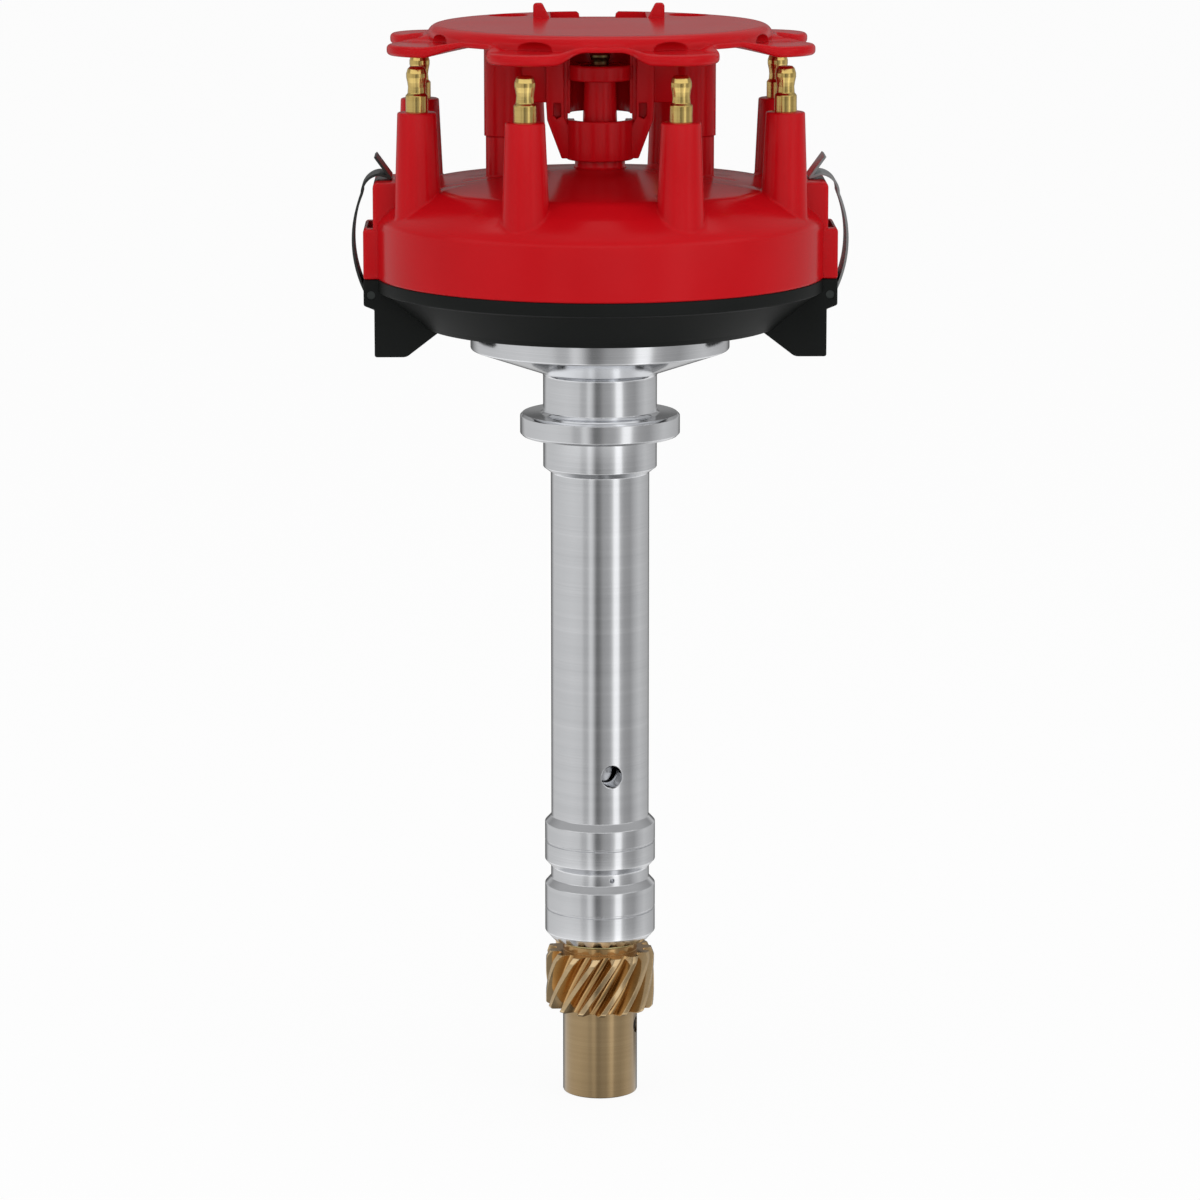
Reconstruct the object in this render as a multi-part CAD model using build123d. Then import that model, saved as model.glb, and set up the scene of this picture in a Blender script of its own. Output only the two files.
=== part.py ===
"""Billet ignition distributor for a V8 engine: shaft-driven rotor under a large clipped cap.

Millimetres. +Z runs up the shaft axis, -Y is the front. The origin is on the shaft axis at the
underside of the mounting collar, which is the face that rests on the engine.
"""
import math
import os
from build123d import *

# Housing, heights measured from the underside of the mounting collar
tube_r = 14.15
neck_r = 16.3
neck_drop = 9.1
neck_chamfer = 1.6
collar_r = 22.9
collar_t = 6.4
collar_edge = 0.7
collar_root = 0.8
upper_neck_top = 18.3
flange_r = 37.0
flange_rim_z = 25.2
flange_top = 32.1
pilot_r = 16.0
pilot_step = 1.95
pilot_upper_top = -113.8
pilot_upper_len = 11.1
oil_groove_r = 14.25
oil_groove_len = 3.4
oil_groove_ramp = 1.95
pilot_lower_len = 14.0
pilot_nose = 2.4
pilot_nose_r = 13.9
score_width = 0.7
score_depth = 0.35
oil_hole_r = 3.1
oil_hole_z = pilot_upper_top + 16.0
oil_hole_angle = -76.7
oil_hole_sink = 0.6
weep_hole_r = 0.7

# Shaft, bearing and bushing
shaft_r = 6.0
shaft_collar_r = shaft_r + 0.9
shaft_collar_len = 5.0
shaft_top = 50.0
shaft_fit = 0.03
housing_bore_r = shaft_r + 1.2
bearing_r = shaft_r + 8.0
bearing_len = 8.0
bearing_inner_r = shaft_r + 2.6
bearing_outer_in_r = bearing_r - 2.5
bearing_depth = 9.6
seal_t = 0.8
seal_recess = 0.4
seal_clear = 0.05
ring_t = 1.0
ring_groove_r = bearing_r + 0.7
ring_inner_r = bearing_r - 1.5
ring_clear = 0.1
ring_gap_angle = 44.0
bushing_r = shaft_r + 2.0
bushing_len = 24.0

# Drive gear on the lower end of the shaft
gear_teeth = 15
gear_tip_r = 15.8
gear_root_r = 12.6
gear_face = 17.1
gear_twist = 42.75
gear_phase = 6.75
tooth_root_share = 0.34
tooth_tip_share = 0.125
gear_end_chamfer = 0.5
gear_end_in = 0.5
gear_shoulder_r = 15.0
gear_shoulder_ramp = 2.0
blank_clear = 0.01
gear_collar_r = 10.9
gear_collar_len = 2.2
gear_hub_r = 10.85
gear_hub_len = 26.0
gear_hub_chamfer = 0.5
washer_r = 11.6
washer_t = 0.9
washer_gap = 0.1
roll_pin_sink = 0.6
roll_pin_r = 2.4
roll_pin_wall = 0.7
roll_pin_drop = 5.7
roll_pin_angle = -14.0
pump_slot_w = 5.2
pump_slot_depth = 10.0
shaft_end_recess = 1.6

# Moulded base under the cap
rim_r = 64.1
rim_z = 46.3
base_band = 3.6
base_tier_r = rim_r - 1.8
base_tier_drop = 0.6
base_foot_r = rim_r - 12.1
base_foot_edge = 1.5
base_wall = 3.4
spigot_clear = 0.3
spigot_wall = 2.4
spigot_rise = 3.0
lug_x = rim_r + 2.9
lug_inner_x = rim_r - 6.0
lug_round = 0.8
lug_half_w = 12.5
lug_drop = 7.5
lug_chamfer = 1.2
foot_x = rim_r - 0.1
foot_bottom = 24.1
foot_inner_x = foot_x - 9.0
foot_ramp_x = flange_r + 7.5
foot_ramp_t = 2.0
foot_round = 3.0
base_bore_r = bearing_r + 3.5
base_screw_r = 2.5
base_screw_head_r = 4.6
base_screw_head_t = 2.6
base_screw_circle = 26.0
base_screw_len = 11.0
base_screw_count = 4
base_screw_angle = 45
screw_clear = 0.2
screw_edge_share = 0.4
screw_slot_share = 0.3

# Cap
cap_wall = 3.6
cap_shoulder_z = 62.3
cap_shoulder_in = 2.9
cap_shoulder_rise = 2.7
cap_brow_r = rim_r - 12.6
cap_brow_z = 72.0
cap_deck_r = rim_r - 24.1
cap_deck_z = 75.0
cap_crown_z = 76.9
ceiling_drop = 3.7
ceiling_edge = 1.5
tower_count = 8
tower_circle_r = rim_r - 8.5
tower_top = 94.4
tower_top_r = 5.55
tower_foot_r = 6.7
tower_foot_z = 62.0
tower_edge = 0.5
boss_top = 60.5
boss_pocket_depth = 7.0
boss_pocket_half_w = 8.5
boss_pocket_x = lug_x - 1.0
boss_round = 0.9
ear_top = 73.6
ear_x = rim_r + 0.1
ear_inner_x = rim_r - 17.1
ear_round = 1.4
post_x = 27.4
post_r = 4.95
post_top = 85.8
post_spigot_r = 2.4
post_spigot_len = 4.0
spigot_fit = 0.1
coil_tower_top = tower_top + 8.6
coil_tower_top_r = 4.4
coil_tower_foot_r = 5.3
coil_collar_r = 7.1
coil_collar_top = cap_deck_z + 7.0
brush_boss_r = 6.2
brush_boss_drop = 9.0

# Terminals, carbon brush and rotor
terminal_shank_r = 2.0
terminal_collar_r = 3.2
terminal_collar_share = 0.39
terminal_waist_r = 2.6
terminal_waist_share = 0.41
terminal_neck_share = 0.58
terminal_bulb_r = 2.95
terminal_bulb_share = 0.75
terminal_tip_r = 1.67
terminal_tip_drop = 1.0
terminal_len = 12.7
electrode_bottom = 57.5
electrode_boss_r = 4.0
electrode_boss_z = 61.5
coil_terminal_len = 6.5
brush_r = 2.4
brush_fit = 0.06
brush_gap = 0.05
brush_len = 6.0
spring_wire_r = 0.3
blade_t = 1.2
blade_w = 9.0
blade_z = 60.0
spark_gap = 1.0
rotor_angle = -67.5
rotor_plate_r = 30.0
rotor_plate_t = 3.2
rotor_boss_r = 12.0
rotor_boss_taper = 2.0
rotor_arm_w = 13.0
rotor_arm_reach = tower_circle_r - 11.6
rotor_arm_tip_t = 3.5
rotor_hub_r = 24.0
rotor_hub_t = 4.0
rotor_sleeve_r = 10.5
rotor_sleeve_len = 10.0
rotor_seat_clear = 0.3
rotor_screw_r = 2.0
rotor_screw_head_r = 3.8
rotor_screw_head_t = 2.4
rotor_screw_x = 19.0

# Wire retainer over the cap
lid_r = tower_circle_r - 6.8
lid_top = tower_top + 22.9
lid_edge = 3.2
lid_skin = 2.8
lid_wall = 6.0
lobe_circle_r = tower_circle_r - 4.2
lobe_r = 12.2
lobe_bottom = tower_top + 15.8
lobe_t = 3.0
lobe_blend = 4.5
scoop_r = 8.2
scoop_top_r = 5.4
scoop_len = 3.7
scoop_shift = 1.5
arch_half_w = 4.6
arch_foot_half_w = 12.5
arch_top = lobe_bottom + 3.2
notch_w = 10.4
notch_depth = 1.8
recess_half_w = 13.8
recess_from_y = 20.0
recess_to_y = 44.0
recess_depth = 2.0
dimple_r = 5.8
dimple_x = 26.0
dimple_y = 31.0
dimple_depth = 1.4
leg_r = 5.4
hub_ring_bottom = lobe_bottom - 8.8
hub_ring_top = lobe_bottom - 4.4
hub_ring_r = 8.6
hub_ring_in_r = 5.6
cup_r = 9.5
cup_in_r = 7.6
cup_bottom = cap_deck_z + 4.0
cup_top = cap_deck_z + 15.3
hub_wall_r = 10.2
hub_wall_in_r = 8.5
hub_wall_bottom = cup_top + 1.7
hub_wall_lap = 1.2
strut_x = 15.3
strut_in_x = 9.0
strut_t = 6.0
strut_taper_x = 15.0
strut_foot_x = 10.9
strut_foot_rise = 0.4
strut_lap = 2.0
web_window_skin = 0.6
web_bottom = lobe_bottom - 15.1
web_t = 2.4
web_window_low = cup_top + 0.9
web_window_in = 11.0
web_window_out = 13.1
fin_inner_x = 13.8
fin_outer_x = 18.8
fin_y = 21.0
fin_t = 3.0
fin_height = 4.2
fin_sink = 0.5
fin_slope = 2.4
fin_edge = 1.0

# Spring latches
pin_x = rim_r + 0.8
pin_z = rim_z - 4.5
pin_inset = 0.5
pin_r = 1.25
latch_w = 13.0
latch_t = 0.7
latch_fit = 0.05
latch_side_clear = 0.6
latch_back_clear = 2.6
latch_slot_drop = 5.5
latch_bulge_x = pin_x + 5.1
latch_bulge_z = pin_z + 13.7
latch_shoulder_x = pin_x + 2.5
latch_shoulder_z = ear_top - 3.8
latch_crown_x = pin_x - 2.5
latch_crown_rise = 1.0
latch_lift = 0.4
latch_hook_x = pin_x - 5.6
latch_tab_x = pin_x - 1.3
latch_tab_z = ear_top + 6.7
latch_crown_bow = 1.3

# Heights that follow from the sizes above
groove_top = pilot_upper_top - pilot_upper_len
groove_low = groove_top - 2 * oil_groove_ramp - oil_groove_len
nose_top = groove_low - pilot_lower_len
housing_bottom = nose_top - pilot_nose
gear_top = housing_bottom - washer_t - 2 * washer_gap
gear_shoulder = gear_top - gear_collar_len
gear_bottom = gear_shoulder - gear_face
hub_bottom = gear_bottom - gear_hub_len
bearing_seat_z = flange_top - bearing_depth
cap_inner_r = rim_r - cap_wall
ceiling_z = cap_crown_z - ceiling_drop
base_floor_z = flange_top + base_wall
rotor_seat = shaft_top + rotor_seat_clear
blade_top = blade_z + blade_t
brush_bottom = blade_top + brush_gap


def lathe(outline):
    """Turn a closed (radius, height) outline about the shaft axis."""
    return revolve(Plane.XZ * make_face(Polyline(*outline, close=True)), Axis.Z)


def ring(outer, inner, low, high):
    """A plain tube about the shaft axis."""
    return lathe([(inner, low), (outer, low), (outer, high), (inner, high)])


def rod(radius, low, high, x=0.0, y=0.0):
    """A plain upright cylinder."""
    return Pos(x, y, (low + high) / 2) * Cylinder(radius, high - low)


def block(x_span, y_span, z_span):
    """A box from its three spans."""
    spans = (x_span, y_span, z_span)
    middle = [(a + b) / 2 for a, b in spans]
    return Pos(*middle) * Box(*[b - a for a, b in spans])


def both_sides(shape):
    """A shape on the +X side together with its mirror image on the -X side."""
    return shape + mirror(shape, Plane.YZ)


def around(shape, count, first_angle=0.0):
    """Copies of a shape spread evenly about the shaft axis."""
    return [Rot(0, 0, first_angle + 360 / count * k) * shape for k in range(count)]


def profile_slab(outline, half_width, rounds=()):
    """A closed (x, z) outline given an equal thickness to the front and the back."""
    face = make_face(Polyline(*outline, close=True))
    for corner, radius in rounds:
        face = fillet(face.vertices().sort_by_distance(corner)[0], radius)
    return extrude(Plane.XZ * face, half_width, both=True)


def score(z):
    """A shallow line turned round the pilot bands."""
    return ring(pilot_r + 1, pilot_r - score_depth, z - score_width / 2, z + score_width / 2)


def housing_body():
    """Turned housing: flange, collar, tube, two pilot bands and the oil groove between them."""
    outline = [
        (bushing_r, housing_bottom),
        (pilot_nose_r, housing_bottom),
        (pilot_r, nose_top),
        (pilot_r, groove_low),
        (oil_groove_r, groove_low + oil_groove_ramp),
        (oil_groove_r, groove_top - oil_groove_ramp),
        (pilot_r, groove_top),
        (pilot_r, pilot_upper_top),
        (tube_r, pilot_upper_top + pilot_step),
        (tube_r, -neck_drop - neck_chamfer),
        (neck_r, -neck_drop),
        (neck_r, 0),
        (collar_r - collar_edge, 0),
        (collar_r, collar_edge),
        (collar_r, collar_t - collar_edge),
        (collar_r - collar_edge, collar_t),
        (neck_r + collar_root, collar_t),
        (neck_r, collar_t + collar_root),
        (neck_r, upper_neck_top - collar_root),
        (neck_r + collar_root, upper_neck_top),
        (flange_r, flange_rim_z),
        (flange_r, flange_top),
        (bearing_r, flange_top),
        (bearing_r, bearing_seat_z),
        (housing_bore_r, bearing_seat_z),
        (housing_bore_r, housing_bottom + bushing_len),
        (bushing_r, housing_bottom + bushing_len),
    ]
    body = lathe(outline)
    body -= score(groove_top + pilot_upper_len / 2)
    body -= score((groove_low + nose_top) / 2)
    body -= ring(ring_groove_r, bearing_r - 1, ring_low(), ring_low() + ring_t + ring_clear)
    drill = Pos(tube_r, 0, oil_hole_z) * Rot(0, 90, 0) * Cylinder(oil_hole_r, 2 * tube_r - 2)
    sink_r = oil_hole_r + oil_hole_sink
    sink = Pos(tube_r, 0, oil_hole_z) * Rot(0, 90, 0) * Cone(oil_hole_r - 1, sink_r + 1, 2)
    body -= Rot(0, 0, oil_hole_angle) * (drill + sink)
    weep_z = (groove_top + groove_low) / 2
    weep = Pos(oil_groove_r, 0, weep_z) * Rot(0, 90, 0) * Cylinder(weep_hole_r, 6)
    body -= Rot(0, 0, oil_hole_angle) * weep
    tap = rod(base_screw_r, flange_top + base_wall - base_screw_len, flange_top, base_screw_circle)
    for hole in around(tap, base_screw_count, base_screw_angle):
        body -= hole
    return body


def ring_low():
    """Underside of the circlip groove, just above the bearing."""
    return bearing_seat_z + bearing_len + ring_clear


def lower_bushing():
    """Plain bronze sleeve pressed into the foot of the housing."""
    return ring(bushing_r, shaft_r + shaft_fit, housing_bottom, housing_bottom + bushing_len)


def upper_bearing_outer_race():
    """Outer race pressed into the pocket in the flange."""
    return ring(bearing_r, bearing_outer_in_r, bearing_seat_z, bearing_seat_z + bearing_len)


def upper_bearing_inner_race():
    """Inner race pressed on the shaft."""
    return ring(bearing_inner_r, shaft_r, bearing_seat_z, bearing_seat_z + bearing_len)


def bearing_seals():
    """Two seals held by the outer race, just clear of the inner race."""
    low = bearing_seat_z + seal_recess
    high = bearing_seat_z + bearing_len - seal_recess - seal_t
    inner = bearing_inner_r + seal_clear
    return [ring(bearing_outer_in_r, inner, z, z + seal_t) for z in (low, high)]


def bearing_retaining_ring():
    """Split circlip above the bearing, with two plier eyes."""
    low = ring_low() + ring_clear / 2
    band = ring(ring_groove_r, ring_inner_r, low, low + ring_t)
    half = math.radians(ring_gap_angle / 2)
    reach = 2 * ring_groove_r
    corners = [(0, 0), (reach, -reach * math.tan(half)), (reach, reach * math.tan(half))]
    wedge = extrude(Pos(0, 0, ring_low()) * make_face(Polyline(*corners, close=True)), 3 * ring_t)
    return band - wedge


def shaft():
    """Steel shaft with a shoulder under the bearing and a slot for the oil pump in its foot."""
    low = hub_bottom + shaft_end_recess
    body = rod(shaft_r, low, shaft_top)
    body += rod(shaft_collar_r, bearing_seat_z - shaft_collar_len, bearing_seat_z)
    reach = shaft_r + 1
    half = pump_slot_w / 2
    body -= block((-reach, reach), (-half, half), (low - 1, low + pump_slot_depth))
    return body - roll_pin_hole()


def roll_pin_hole():
    """Cross hole for the roll pin, through the gear hub and the shaft."""
    drill = Pos(0, 0, gear_bottom - roll_pin_drop) * Rot(0, 90, 0) * Cylinder(roll_pin_r, 4 * gear_hub_r)
    return Rot(0, 0, roll_pin_angle) * drill


def tooth_section():
    """Cross section of the gear: a root circle with one straight-sided tooth per pitch."""
    pitch = 360 / gear_teeth
    corners = []
    for k in range(gear_teeth):
        for radius, share in (
            (gear_root_r, -tooth_root_share),
            (gear_tip_r, -tooth_tip_share),
            (gear_tip_r, tooth_tip_share),
            (gear_root_r, tooth_root_share),
        ):
            turn = math.radians(gear_phase + (k + share) * pitch)
            corners.append((radius * math.cos(turn), radius * math.sin(turn)))
    return Pos(0, 0, gear_bottom) * make_face(Polyline(*corners, close=True))


def drive_gear():
    """Helical gear and its long hub, cut from one piece of bronze."""
    foot = (0, 0, gear_bottom)
    teeth = Solid.extrude_linear_with_rotation(tooth_section().face(), foot, (0, 0, gear_face), gear_twist)
    blank = lathe([
        (0, gear_bottom),
        (gear_tip_r - gear_end_in, gear_bottom),
        (gear_tip_r + blank_clear, gear_bottom + gear_end_chamfer),
        (gear_tip_r + blank_clear, gear_shoulder - gear_shoulder_ramp),
        (gear_shoulder_r, gear_shoulder),
        (0, gear_shoulder),
    ])
    collar = ring(gear_collar_r, shaft_r, gear_shoulder - 1, gear_top)
    hub = lathe([
        (0, hub_bottom),
        (gear_hub_r - gear_hub_chamfer, hub_bottom),
        (gear_hub_r, hub_bottom + gear_hub_chamfer),
        (gear_hub_r, gear_bottom + 1),
        (0, gear_bottom + 1),
    ])
    body = (teeth & blank) + hub + collar
    return body - rod(shaft_r, hub_bottom - 1, gear_top + 1) - roll_pin_hole()


def gear_thrust_washer():
    """Thrust washer between the housing and the gear."""
    low = gear_top + washer_gap
    return ring(washer_r, shaft_r + 2 * shaft_fit, low, low + washer_t)


def gear_roll_pin():
    """Rolled spring pin that locks the gear to the shaft."""
    length = 2 * (gear_hub_r - roll_pin_sink)
    pin = Cylinder(roll_pin_r, length) - Cylinder(roll_pin_r - roll_pin_wall, length + 1)
    pin = Pos(0, 0, gear_bottom - roll_pin_drop) * Rot(0, 90, 0) * pin
    return Rot(0, 0, roll_pin_angle) * pin


def base_bowl():
    """Moulded bowl on the flange, with a lug and a foot at each latch."""
    spigot_r = cap_inner_r - spigot_clear
    outline = [
        (base_bore_r, flange_top),
        (base_foot_r - base_foot_edge, flange_top),
        (base_foot_r, flange_top + base_foot_edge),
        (base_tier_r, rim_z - base_band - base_tier_drop),
        (rim_r, rim_z - base_band),
        (rim_r, rim_z),
        (spigot_r, rim_z),
        (spigot_r, rim_z + spigot_rise),
        (spigot_r - spigot_wall, rim_z + spigot_rise),
        (spigot_r - spigot_wall, rim_z - base_band),
        (base_foot_r - base_wall, base_floor_z),
        (base_bore_r, base_floor_z),
    ]
    body = lathe(outline)
    lug = profile_slab(
        [
            (foot_ramp_x, flange_top + foot_ramp_t),
            (lug_inner_x, rim_z),
            (lug_x, rim_z),
            (lug_x, rim_z - lug_drop),
            (foot_x, rim_z - lug_drop - lug_chamfer),
            (foot_x, foot_bottom),
            (foot_inner_x, foot_bottom),
            (foot_ramp_x, flange_top),
        ],
        lug_half_w,
        [((foot_inner_x, foot_bottom), foot_round), ((lug_x, rim_z - lug_drop), lug_round)],
    )
    inside = lathe([
        (0, base_floor_z),
        (base_foot_r - base_wall, base_floor_z),
        (spigot_r - spigot_wall, rim_z - base_band),
        (spigot_r - spigot_wall, rim_z + 1),
        (0, rim_z + 1),
    ])
    body += both_sides(lug - inside)
    half = latch_w / 2 + latch_side_clear
    slot = block(
        (pin_x - latch_back_clear, lug_x + 1),
        (-half, half),
        (pin_z - latch_slot_drop, rim_z + 1),
    )
    pin_hole = Pos(pin_x, 0, pin_z) * Rot(90, 0, 0) * Cylinder(pin_r, 3 * lug_half_w)
    body -= both_sides(slot + pin_hole)
    screw_hole = rod(base_screw_r + screw_clear, flange_top - 1, base_floor_z + 1, base_screw_circle)
    for hole in around(screw_hole, base_screw_count, base_screw_angle):
        body -= hole
    return body


def pan_screw(shank_r, head_r, head_t, length, seat_z, x):
    """Slotted pan-head screw standing at one radius, its head on the seat."""
    edge = head_t * screw_edge_share
    outline = [
        (0, seat_z - length),
        (shank_r, seat_z - length),
        (shank_r, seat_z),
        (head_r, seat_z),
        (head_r, seat_z + head_t - edge),
        (head_r - edge, seat_z + head_t),
        (0, seat_z + head_t),
    ]
    slot = Pos(0, 0, seat_z + head_t) * Box(3 * head_r, screw_slot_share * head_r, head_t)
    return Pos(x, 0, 0) * (lathe(outline) - slot)


def base_screws():
    """Screws that hold the bowl to the flange."""
    screw = pan_screw(base_screw_r, base_screw_head_r, base_screw_head_t, base_screw_len, base_floor_z,
                      base_screw_circle)
    return around(screw, base_screw_count, base_screw_angle)


def terminal(foot_z, seat_z, length):
    """Turned snap-on terminal: shank, collar, waist and bulb."""
    top = seat_z + length
    outline = [
        (0, foot_z),
        (terminal_shank_r, foot_z),
        (terminal_shank_r, seat_z),
        (terminal_collar_r, seat_z),
        (terminal_collar_r, seat_z + terminal_collar_share * length),
        (terminal_waist_r, seat_z + terminal_waist_share * length),
        (terminal_waist_r, seat_z + terminal_neck_share * length),
        (terminal_bulb_r, seat_z + terminal_bulb_share * length),
        (terminal_bulb_r, top - terminal_tip_drop),
        (terminal_tip_r, top),
        (0, top),
    ]
    return lathe(outline)


def plug_terminals():
    """Eight terminals, each running down through its tower to an electrode over the rotor."""
    one = Pos(tower_circle_r, 0, 0) * terminal(electrode_bottom, tower_top, terminal_len)
    return around(one, tower_count, 180 / tower_count)


def coil_terminal():
    """Centre terminal of the cap, which feeds the carbon brush."""
    return terminal(ceiling_z - 1, coil_tower_top, coil_terminal_len)


def brush_bore():
    """Blind bore in the cap's inner boss that guides the carbon brush."""
    return rod(brush_r + brush_fit, ceiling_z - brush_boss_drop - 1, ceiling_z - 1)


def cap_outside():
    """The domed shell filled in, as a turned solid."""
    band_r = rim_r - cap_shoulder_in
    band_z = cap_shoulder_z + cap_shoulder_rise
    return lathe([
        (0, rim_z),
        (0, cap_crown_z),
        (cap_deck_r, cap_deck_z),
        (cap_brow_r, cap_brow_z),
        (band_r, band_z),
        (rim_r, cap_shoulder_z),
        (rim_r, rim_z),
    ])


def cap_cavity():
    """The space inside the cap, in which the rotor turns."""
    return lathe([
        (0, rim_z - 1),
        (cap_inner_r, rim_z - 1),
        (cap_inner_r, cap_shoulder_z - ceiling_edge),
        (cap_brow_r - ceiling_edge, cap_brow_z - ceiling_drop),
        (cap_deck_r - ceiling_edge, cap_deck_z - ceiling_drop),
        (0, ceiling_z),
    ])


def plug_tower():
    """One tapered plug tower, standing on the shoulder of the cap."""
    outline = [
        (0, tower_foot_z),
        (tower_foot_r, tower_foot_z),
        (tower_top_r, tower_top - tower_edge),
        (tower_top_r - tower_edge, tower_top),
        (0, tower_top),
    ]
    return Pos(tower_circle_r, 0, 0) * lathe(outline)


def latch_ear():
    """Block on the rim that the latch hooks over, with the boss and its pocket below."""
    boss = profile_slab(
        [(cap_inner_r, rim_z), (lug_x, rim_z), (lug_x, boss_top), (cap_inner_r, boss_top)],
        lug_half_w,
        [((lug_x, boss_top), boss_round)],
    )
    ear = profile_slab(
        [
            (ear_inner_x, cap_brow_z - 1),
            (lug_inner_x, cap_shoulder_z - cap_shoulder_rise),
            (ear_x, boss_top - 1),
            (ear_x, ear_top),
            (ear_inner_x, ear_top),
        ],
        lug_half_w,
        [((ear_x, ear_top), ear_round)],
    )
    pocket = block(
        (ear_x, boss_pocket_x),
        (-boss_pocket_half_w, boss_pocket_half_w),
        (boss_top - boss_pocket_depth, boss_top + 1),
    )
    return boss + ear - pocket


def coil_tower():
    """Slim centre tower with a collar at its foot."""
    height = coil_tower_top - cap_deck_z
    column = Pos(0, 0, cap_deck_z + height / 2) * Cone(coil_tower_foot_r, coil_tower_top_r, height)
    return column + rod(coil_collar_r, cap_deck_z, coil_collar_top)


def distributor_cap():
    """Moulded cap: domed shell, eight plug towers, centre tower, posts and latch ears."""
    post = rod(post_r, cap_deck_z - 1, post_top, post_x)
    post += rod(post_spigot_r, post_top, post_top + post_spigot_len, post_x)
    body = cap_outside() + coil_tower() + both_sides(latch_ear() + post)
    for tower in around(plug_tower(), tower_count, 180 / tower_count):
        body += tower
    body -= cap_cavity()
    body += rod(brush_boss_r, ceiling_z - brush_boss_drop, ceiling_z + 1)
    inner_boss = rod(electrode_boss_r, electrode_boss_z, tower_foot_z + 3, tower_circle_r)
    for boss in around(inner_boss, tower_count, 180 / tower_count):
        body += boss
    body -= brush_bore() + rod(terminal_shank_r, ceiling_z - 2, coil_tower_top + 1)
    shank = rod(terminal_shank_r, electrode_bottom, tower_top + 1, tower_circle_r)
    for hole in around(shank, tower_count, 180 / tower_count):
        body -= hole
    return body


def carbon_brush():
    """Carbon button that rests on the rotor blade."""
    return rod(brush_r, brush_bottom, brush_bottom + brush_len)


def brush_spring():
    """Spring between the brush and the centre terminal, as a plain sleeve of its outer size."""
    outer = brush_r - spring_wire_r
    return ring(outer, outer - 2 * spring_wire_r, brush_bottom + brush_len, ceiling_z - 1)


def rotor_hub():
    """Aluminium carrier clamped on the top of the shaft."""
    body = ring(rotor_hub_r, shaft_r, rotor_seat - rotor_hub_t, rotor_seat)
    body += ring(rotor_sleeve_r, shaft_r, rotor_seat - rotor_sleeve_len, rotor_seat)
    tap = rod(rotor_screw_r, rotor_seat - rotor_hub_t, rotor_seat, 0, rotor_screw_x)
    return Rot(0, 0, rotor_angle) * (body - tap - mirror(tap, Plane.XZ))


def rotor_body():
    """Moulded rotor: round plate, centre boss and the arm that carries the blade."""
    body = rod(rotor_plate_r, rotor_seat, rotor_seat + rotor_plate_t)
    boss_h = blade_z - rotor_seat
    body += Pos(0, 0, rotor_seat + boss_h / 2) * Cone(rotor_boss_r, rotor_boss_r - rotor_boss_taper, boss_h)
    body += profile_slab(
        [
            (0, rotor_seat),
            (rotor_plate_r - rotor_boss_taper, rotor_seat),
            (rotor_arm_reach, blade_z - rotor_arm_tip_t),
            (rotor_arm_reach, blade_z),
            (0, blade_z),
        ],
        rotor_arm_w / 2,
    )
    high = rotor_seat + rotor_plate_t + 1
    hole = rod(rotor_screw_r + screw_clear, rotor_seat - 1, high, 0, rotor_screw_x)
    return Rot(0, 0, rotor_angle) * (body - hole - mirror(hole, Plane.XZ))


def rotor_blade():
    """Brass strip from under the brush out to the spark gap."""
    tip = tower_circle_r - terminal_shank_r - spark_gap
    strip = block((0, tip), (-blade_w / 2, blade_w / 2), (blade_z, blade_top))
    return Rot(0, 0, rotor_angle) * (strip + rod(blade_w / 2, blade_z, blade_top))


def rotor_screws():
    """Two screws that hold the rotor to its carrier."""
    seat = rotor_seat + rotor_plate_t
    screw = pan_screw(rotor_screw_r, rotor_screw_head_r, rotor_screw_head_t,
                      rotor_plate_t + rotor_hub_t, seat, rotor_screw_x)
    return [Rot(0, 0, rotor_angle + turn) * screw for turn in (90, -90)]


def lobed_outline(radius, lobe_radius, blend):
    """Flat outline of the retainer: a disc with one round lobe over each plug tower."""
    outline = Circle(radius)
    for k in range(tower_count):
        outline += PolarLocations(lobe_circle_r, 1, 360 / tower_count * (k + 0.5)) * Circle(lobe_radius)
    return fillet(outline.vertices(), blend)


def retainer_lid():
    """Hollow lid with lobes, scooped pockets over the towers and arches between them."""
    bevel = lid_edge * (1 - math.sqrt(0.5))
    lid = lathe([
        (0, lobe_bottom),
        (lid_r, lobe_bottom),
        (lid_r, lid_top - lid_edge),
        (lid_r - bevel, lid_top - bevel),
        (lid_r - lid_edge, lid_top),
        (0, lid_top),
    ])
    lid += extrude(Pos(0, 0, lobe_bottom) * lobed_outline(lid_r, lobe_r, lobe_blend), lobe_t)
    lid -= rod(lid_r - lid_wall, lobe_bottom - 1, lid_top - lid_skin)
    scoop_z = lobe_bottom + lobe_t + scoop_len / 2
    scoop = Pos(lobe_circle_r + scoop_shift, 0, scoop_z) * Cone(scoop_r, scoop_top_r, scoop_len)
    for cut in around(scoop, tower_count, 180 / tower_count):
        lid -= cut
    for opening in around(lid_arch(), tower_count):
        lid -= opening
    half = notch_w / 2
    notch = block((-half, half), (recess_to_y - 1, lid_r + 1), (lid_top - notch_depth, lid_top + 1))
    across = (-recess_half_w, recess_half_w)
    recess = block(across, (recess_from_y, recess_to_y), (lid_top - recess_depth, lid_top + 1))
    dimple = rod(dimple_r, lid_top - dimple_depth, lid_top + 1, dimple_x, dimple_y)
    return lid - notch - recess - both_sides(dimple)


def lid_arch():
    """Cutter for the arch on the +X side, between two lobes: a trapezium along the radius."""
    low = lobe_bottom - 1
    outline = [
        (-arch_foot_half_w, low),
        (-arch_foot_half_w, lobe_bottom),
        (-arch_half_w, arch_top),
        (arch_half_w, arch_top),
        (arch_foot_half_w, lobe_bottom),
        (arch_foot_half_w, low),
    ]
    return Pos(lobe_circle_r, 0, 0) * Rot(0, 0, 90) * profile_slab(outline, lobe_r + 2)


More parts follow.
